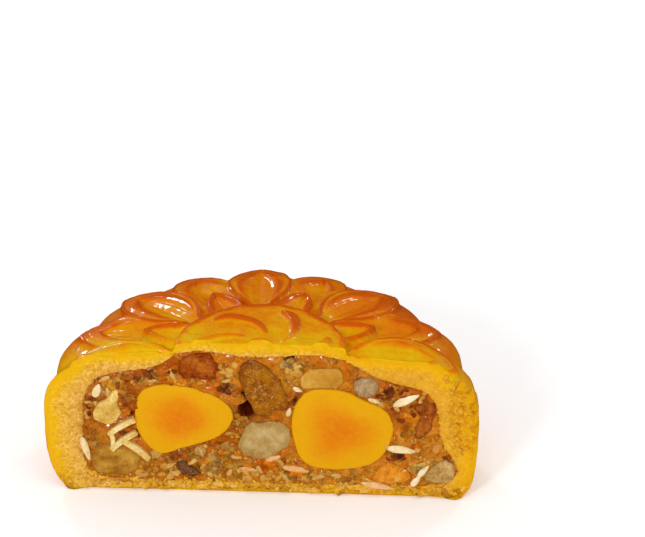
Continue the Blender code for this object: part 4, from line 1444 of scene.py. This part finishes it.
def make_translucent(name, dark, middle, light, scale=500.0, coat=1.0, sugar_and_glints=0.3, deep=0.5):
    """Candied or cured food: clear patches, fine pale specks of sugar that also paint its glints, and a wet
    sheen.
    """
    it = Finish(name, Coat_Weight=coat, Coat_Roughness=0.09, Subsurface_Weight=deep)
    it.shader.inputs["Subsurface Radius"].default_value = (1.0, 0.6, 0.3)
    it.shader.inputs["Subsurface Scale"].default_value = 1.6 * MM
    tree = it.tree
    patches = it.group(MOTTLING, Scale=scale * 0.45, Contrast=2.4)["Mask"]
    veins = it.group(MOTTLING, Scale=scale * 1.8, Contrast=2.6)["Mask"]
    specks = it.group(GRAINS, Scale=scale * 9.0)
    amount = math_node(tree, "MULTIPLY_ADD", veins, 0.35)
    tree.links.new(math_node(tree, "MULTIPLY", patches, 0.65), amount.node.inputs[2])
    colour = ramp(tree, amount, [(0.1, dark), (0.5, middle), (0.9, light)])
    # Pale sugar specks, which are painted glints of the sugar as well.
    bright = math_node(tree, "MULTIPLY", stretch(tree, specks["Each"], 0.80, 0.98), sugar_and_glints)
    colour = mix_colours(tree, bright, colour, tint("eccc84"))
    rim = math_node(tree, "MULTIPLY", stretch(tree, it.value("share"), 0.68, 0.98), 0.55)
    it.feed("Base Color", mix_colours(tree, rim, colour, tint(dark)))
    it.feed("Roughness", math_node(tree, "MULTIPLY_ADD", veins, 0.25))
    tree.nodes[-1].inputs[2].default_value = 0.2
    height = math_node(tree, "ADD", specks["Height"], math_node(tree, "MULTIPLY", veins, 1.2))
    it.bump(height, 0.16 * MM)
    return it.material


def make_dull(name, dark, middle, light, scale=700.0, gloss=0.15):
    """Nuts, seeds and other opaque food, with fine streaks of lighter and darker tone."""
    it = Finish(name, Coat_Weight=gloss, Coat_Roughness=0.25, Subsurface_Weight=0.1)
    it.shader.inputs["Subsurface Scale"].default_value = 0.8 * MM
    tree = it.tree
    patches = it.group(MOTTLING, Scale=scale * 0.5, Contrast=2.2)["Mask"]
    fine = it.group(MOTTLING, Scale=scale * 3.0, Contrast=2.2)["Mask"]
    amount = math_node(tree, "MULTIPLY_ADD", fine, 0.4)
    tree.links.new(math_node(tree, "MULTIPLY", patches, 0.6), amount.node.inputs[2])
    it.feed("Base Color", ramp(tree, amount, [(0.12, dark), (0.5, middle), (0.88, light)]))
    it.feed("Roughness", math_node(tree, "MULTIPLY_ADD", patches, 0.2))
    tree.nodes[-1].inputs[2].default_value = 0.42
    it.bump(fine, 0.08 * MM)
    return it.material


# --- Camera, light and floor ---------------------------------------------------------------------

VIEW_AZIMUTH = math.radians(3)
VIEW_ELEVATION = math.radians(29)
VIEW_DISTANCE = 0.8
FRAME_WIDTH = 127.2 * MM  # what the picture spans at the cut
SENSOR_WIDTH = 36.0
AIM_RIGHT = 12.13 * MM  # of the axis' foot on the cut, across the picture
AIM_UP = 44.6 * MM


def view_axes():
    """The camera's backward, right and up directions."""
    backward = Vector((
        math.sin(VIEW_AZIMUTH) * math.cos(VIEW_ELEVATION),
        -math.cos(VIEW_AZIMUTH) * math.cos(VIEW_ELEVATION),
        math.sin(VIEW_ELEVATION),
    ))
    right = Vector((math.cos(VIEW_AZIMUTH), math.sin(VIEW_AZIMUTH), 0))
    return backward, right, backward.cross(right)


def make_camera():
    backward, right, up = view_axes()
    target = Vector((AXIS_X, CUT_Y, 0)) + right * AIM_RIGHT + up * AIM_UP
    bpy.ops.object.camera_add(location=target + backward * VIEW_DISTANCE)
    camera = bpy.context.object
    camera.rotation_euler = Matrix((right, up, backward)).transposed().to_euler()
    camera.data.sensor_width = SENSOR_WIDTH
    camera.data.lens = SENSOR_WIDTH * VIEW_DISTANCE / FRAME_WIDTH
    camera.data.clip_start = 0.01
    bpy.context.scene.camera = camera


def soft_light(name, size, distance, azimuth, elevation, power, gleams=True):
    """A square light that faces the cake. Azimuth 0 is in front of the cut, and 90 is at +X."""
    a, e = math.radians(azimuth), math.radians(elevation)
    towards = Vector((math.sin(a) * math.cos(e), -math.cos(a) * math.cos(e), math.sin(e)))
    bpy.ops.object.light_add(type="AREA", location=towards * distance + Vector((0, 0, 0.015)))
    light = bpy.context.object
    light.name = name
    light.rotation_euler = towards.to_track_quat("Z", "Y").to_euler()
    light.data.shape = "SQUARE"
    light.data.size = size
    light.data.energy = power
    light.visible_glossy = gleams
    return light


def make_light_and_floor():
    world = bpy.data.worlds.new("pale_room")
    bpy.context.scene.world = world
    world.use_nodes = True
    background = world.node_tree.nodes["Background"]
    background.inputs["Color"].default_value = (1, 1, 1, 1)
    background.inputs["Strength"].default_value = 0.60
    world.cycles_visibility.glossy = False
    soft_light("key", 0.13, 0.7, -22, 30, 1.42)
    soft_light("fill", 0.45, 0.9, 45, 35, 0.62, gleams=False)
    soft_light("overhead", 0.45, 0.9, 0, 75, 0.8, gleams=False)
    soft_light("low", 0.035, 0.7, -8, 12, 0.34)
    soft_light("glint_left", 0.05, 0.7, -150, 36, 0.5)
    soft_light("glint_left_low", 0.05, 0.7, -151, 12, 0.26)
    soft_light("glint_right_low", 0.04, 0.7, 150, 14, 0.14)
    soft_light("glint_right", 0.05, 0.7, 140, 40, 0.4)
    bpy.ops.mesh.primitive_plane_add(size=6)
    floor = named("floor")
    pale = bpy.data.materials.new("pale_floor")
    pale.use_nodes = True
    shader = pale.node_tree.nodes["Principled BSDF"]
    shader.inputs["Base Color"].default_value = (0.97, 0.97, 0.97, 1)
    shader.inputs["Emission Color"].default_value = (1, 1, 1, 1)
    shader.inputs["Emission Strength"].default_value = 0.12
    shader.inputs["Roughness"].default_value = 0.9
    shader.inputs["Specular IOR Level"].default_value = 0.1
    floor.data.materials.append(pale)
    floor.visible_glossy = False


make_camera()
make_light_and_floor()
bpy.context.scene.view_settings.view_transform = "Standard"
crust = make_crust()
crust_look = make_baked_crust()
dress(crust, crust_look, ["crust"])
make_crust_crumbs(crust_look)
make_bits()
dress(make_filling(), make_paste(), ["filling"])
yolk_look = make_yolk()
YOLK = dict(segments=160, rings=72, dome=0.35, rounding=0.35, lumps=[(0.22, 6.0, 1.7), (0.05, 1.6, 4.2)])
for node in ("yolk_left", "yolk_right"):
    dress(make_set_piece(node, **YOLK), yolk_look, [node])
SWEETS = {
    "candied_melon_upper": (
        "candied_melon",
        make_translucent("amber_melon", "783608", "a25e04", "bc7a04", 420.0, sugar_and_glints=0.3),
        dict(dome=0.15, lumps=[(0.45, 3.4, 2.2), (0.16, 1.1, 5.0)]),
    ),
    "candied_melon_lower": (
        "pale_candied_melon",
        make_translucent("pale_melon", "a07838", "b89658", "ccb27c", 300.0, sugar_and_glints=0.25),
        dict(dome=0.25, lumps=[(0.25, 3.8, 3.4), (0.05, 1.3, 5.6)]),
    ),
    "sausage_upper_left": (
        "cured_sausage",
        make_translucent("cured_meat", "7a2400", "aa4c04", "c4701a", 620.0, sugar_and_glints=0.15),
        dict(dome=0.1, lumps=[(0.30, 2.2, 7.4), (0.15, 0.8, 1.6)], stands=-0.1),
    ),
    "sugared_fat_left": (
        "sugared_fat",
        make_translucent("brown_fat", "9a6418", "c08a2c", "d4a448", 420.0, sugar_and_glints=0.12),
        dict(dome=0.1, rounding=0.3, lumps=[(0.35, 2.6, 3.7), (0.14, 0.9, 1.1)], stands=-0.35),
    ),
    "sugared_fat_upper_right": (
        "sugared_fat",
        make_translucent("clear_fat", "957048", "ae8a5c", "ccb088", 520.0, sugar_and_glints=0.3),
        dict(dome=0.2, lumps=[(0.30, 1.8, 8.7), (0.12, 0.7, 3.1)]),
    ),
    "sugared_fat_lower_right": (
        "sugared_fat",
        make_translucent("grainy_fat", "b08440", "d8ac68", "f2d4a0", 620.0, sugar_and_glints=0.5),
        dict(dome=0.15, lumps=[(0.35, 1.6, 2.9), (0.20, 0.7, 6.3)]),
    ),
    "walnut_left": (
        "nut",
        make_dull("walnut", "bc842c", "d8ae50", "ecd080", 600.0, gloss=0.6),
        dict(dome=0.6, rounding=0.8, lumps=[(0.50, 2.2, 5.2), (0.12, 0.8, 9.1)], stands=0.1),
    ),
    "cashew_upper_right": (
        "nut",
        make_dull("cashew", "ae741c", "c08828", "d0a044", 420.0, gloss=0.3),
        dict(dome=0.15, rounding=0.35, lumps=[(0.15, 3.0, 4.9)]),
    ),
    "candied_date_right": (
        "candied_fruit",
        make_translucent("date", "6c2606", "9c4a0e", "c07020", 520.0, sugar_and_glints=0.08),
        dict(dome=0.3, lumps=[(0.45, 1.9, 6.6), (0.12, 0.7, 2.0)], stands=-0.3),
    ),
    "candied_peel_lower_right": (
        "candied_peel",
        make_translucent("candied_peel", "cc6c0c", "e8921c", "f4b84c", 520.0, sugar_and_glints=0.12),
        dict(dome=0.15, lumps=[(0.35, 2.0, 1.9), (0.12, 0.8, 4.4)]),
    ),
    "raisin_lower_left": (
        "raisin",
        make_translucent("raisin", "4a2410", "6e4020", "8c6040", 620.0, sugar_and_glints=0.10),
        dict(dome=0.4, lumps=[(0.35, 1.2, 7.1), (0.12, 0.5, 2.7)]),
    ),
}
for node, (slot, look, shape) in SWEETS.items():
    dress(make_set_piece(node, **shape), look, [node])
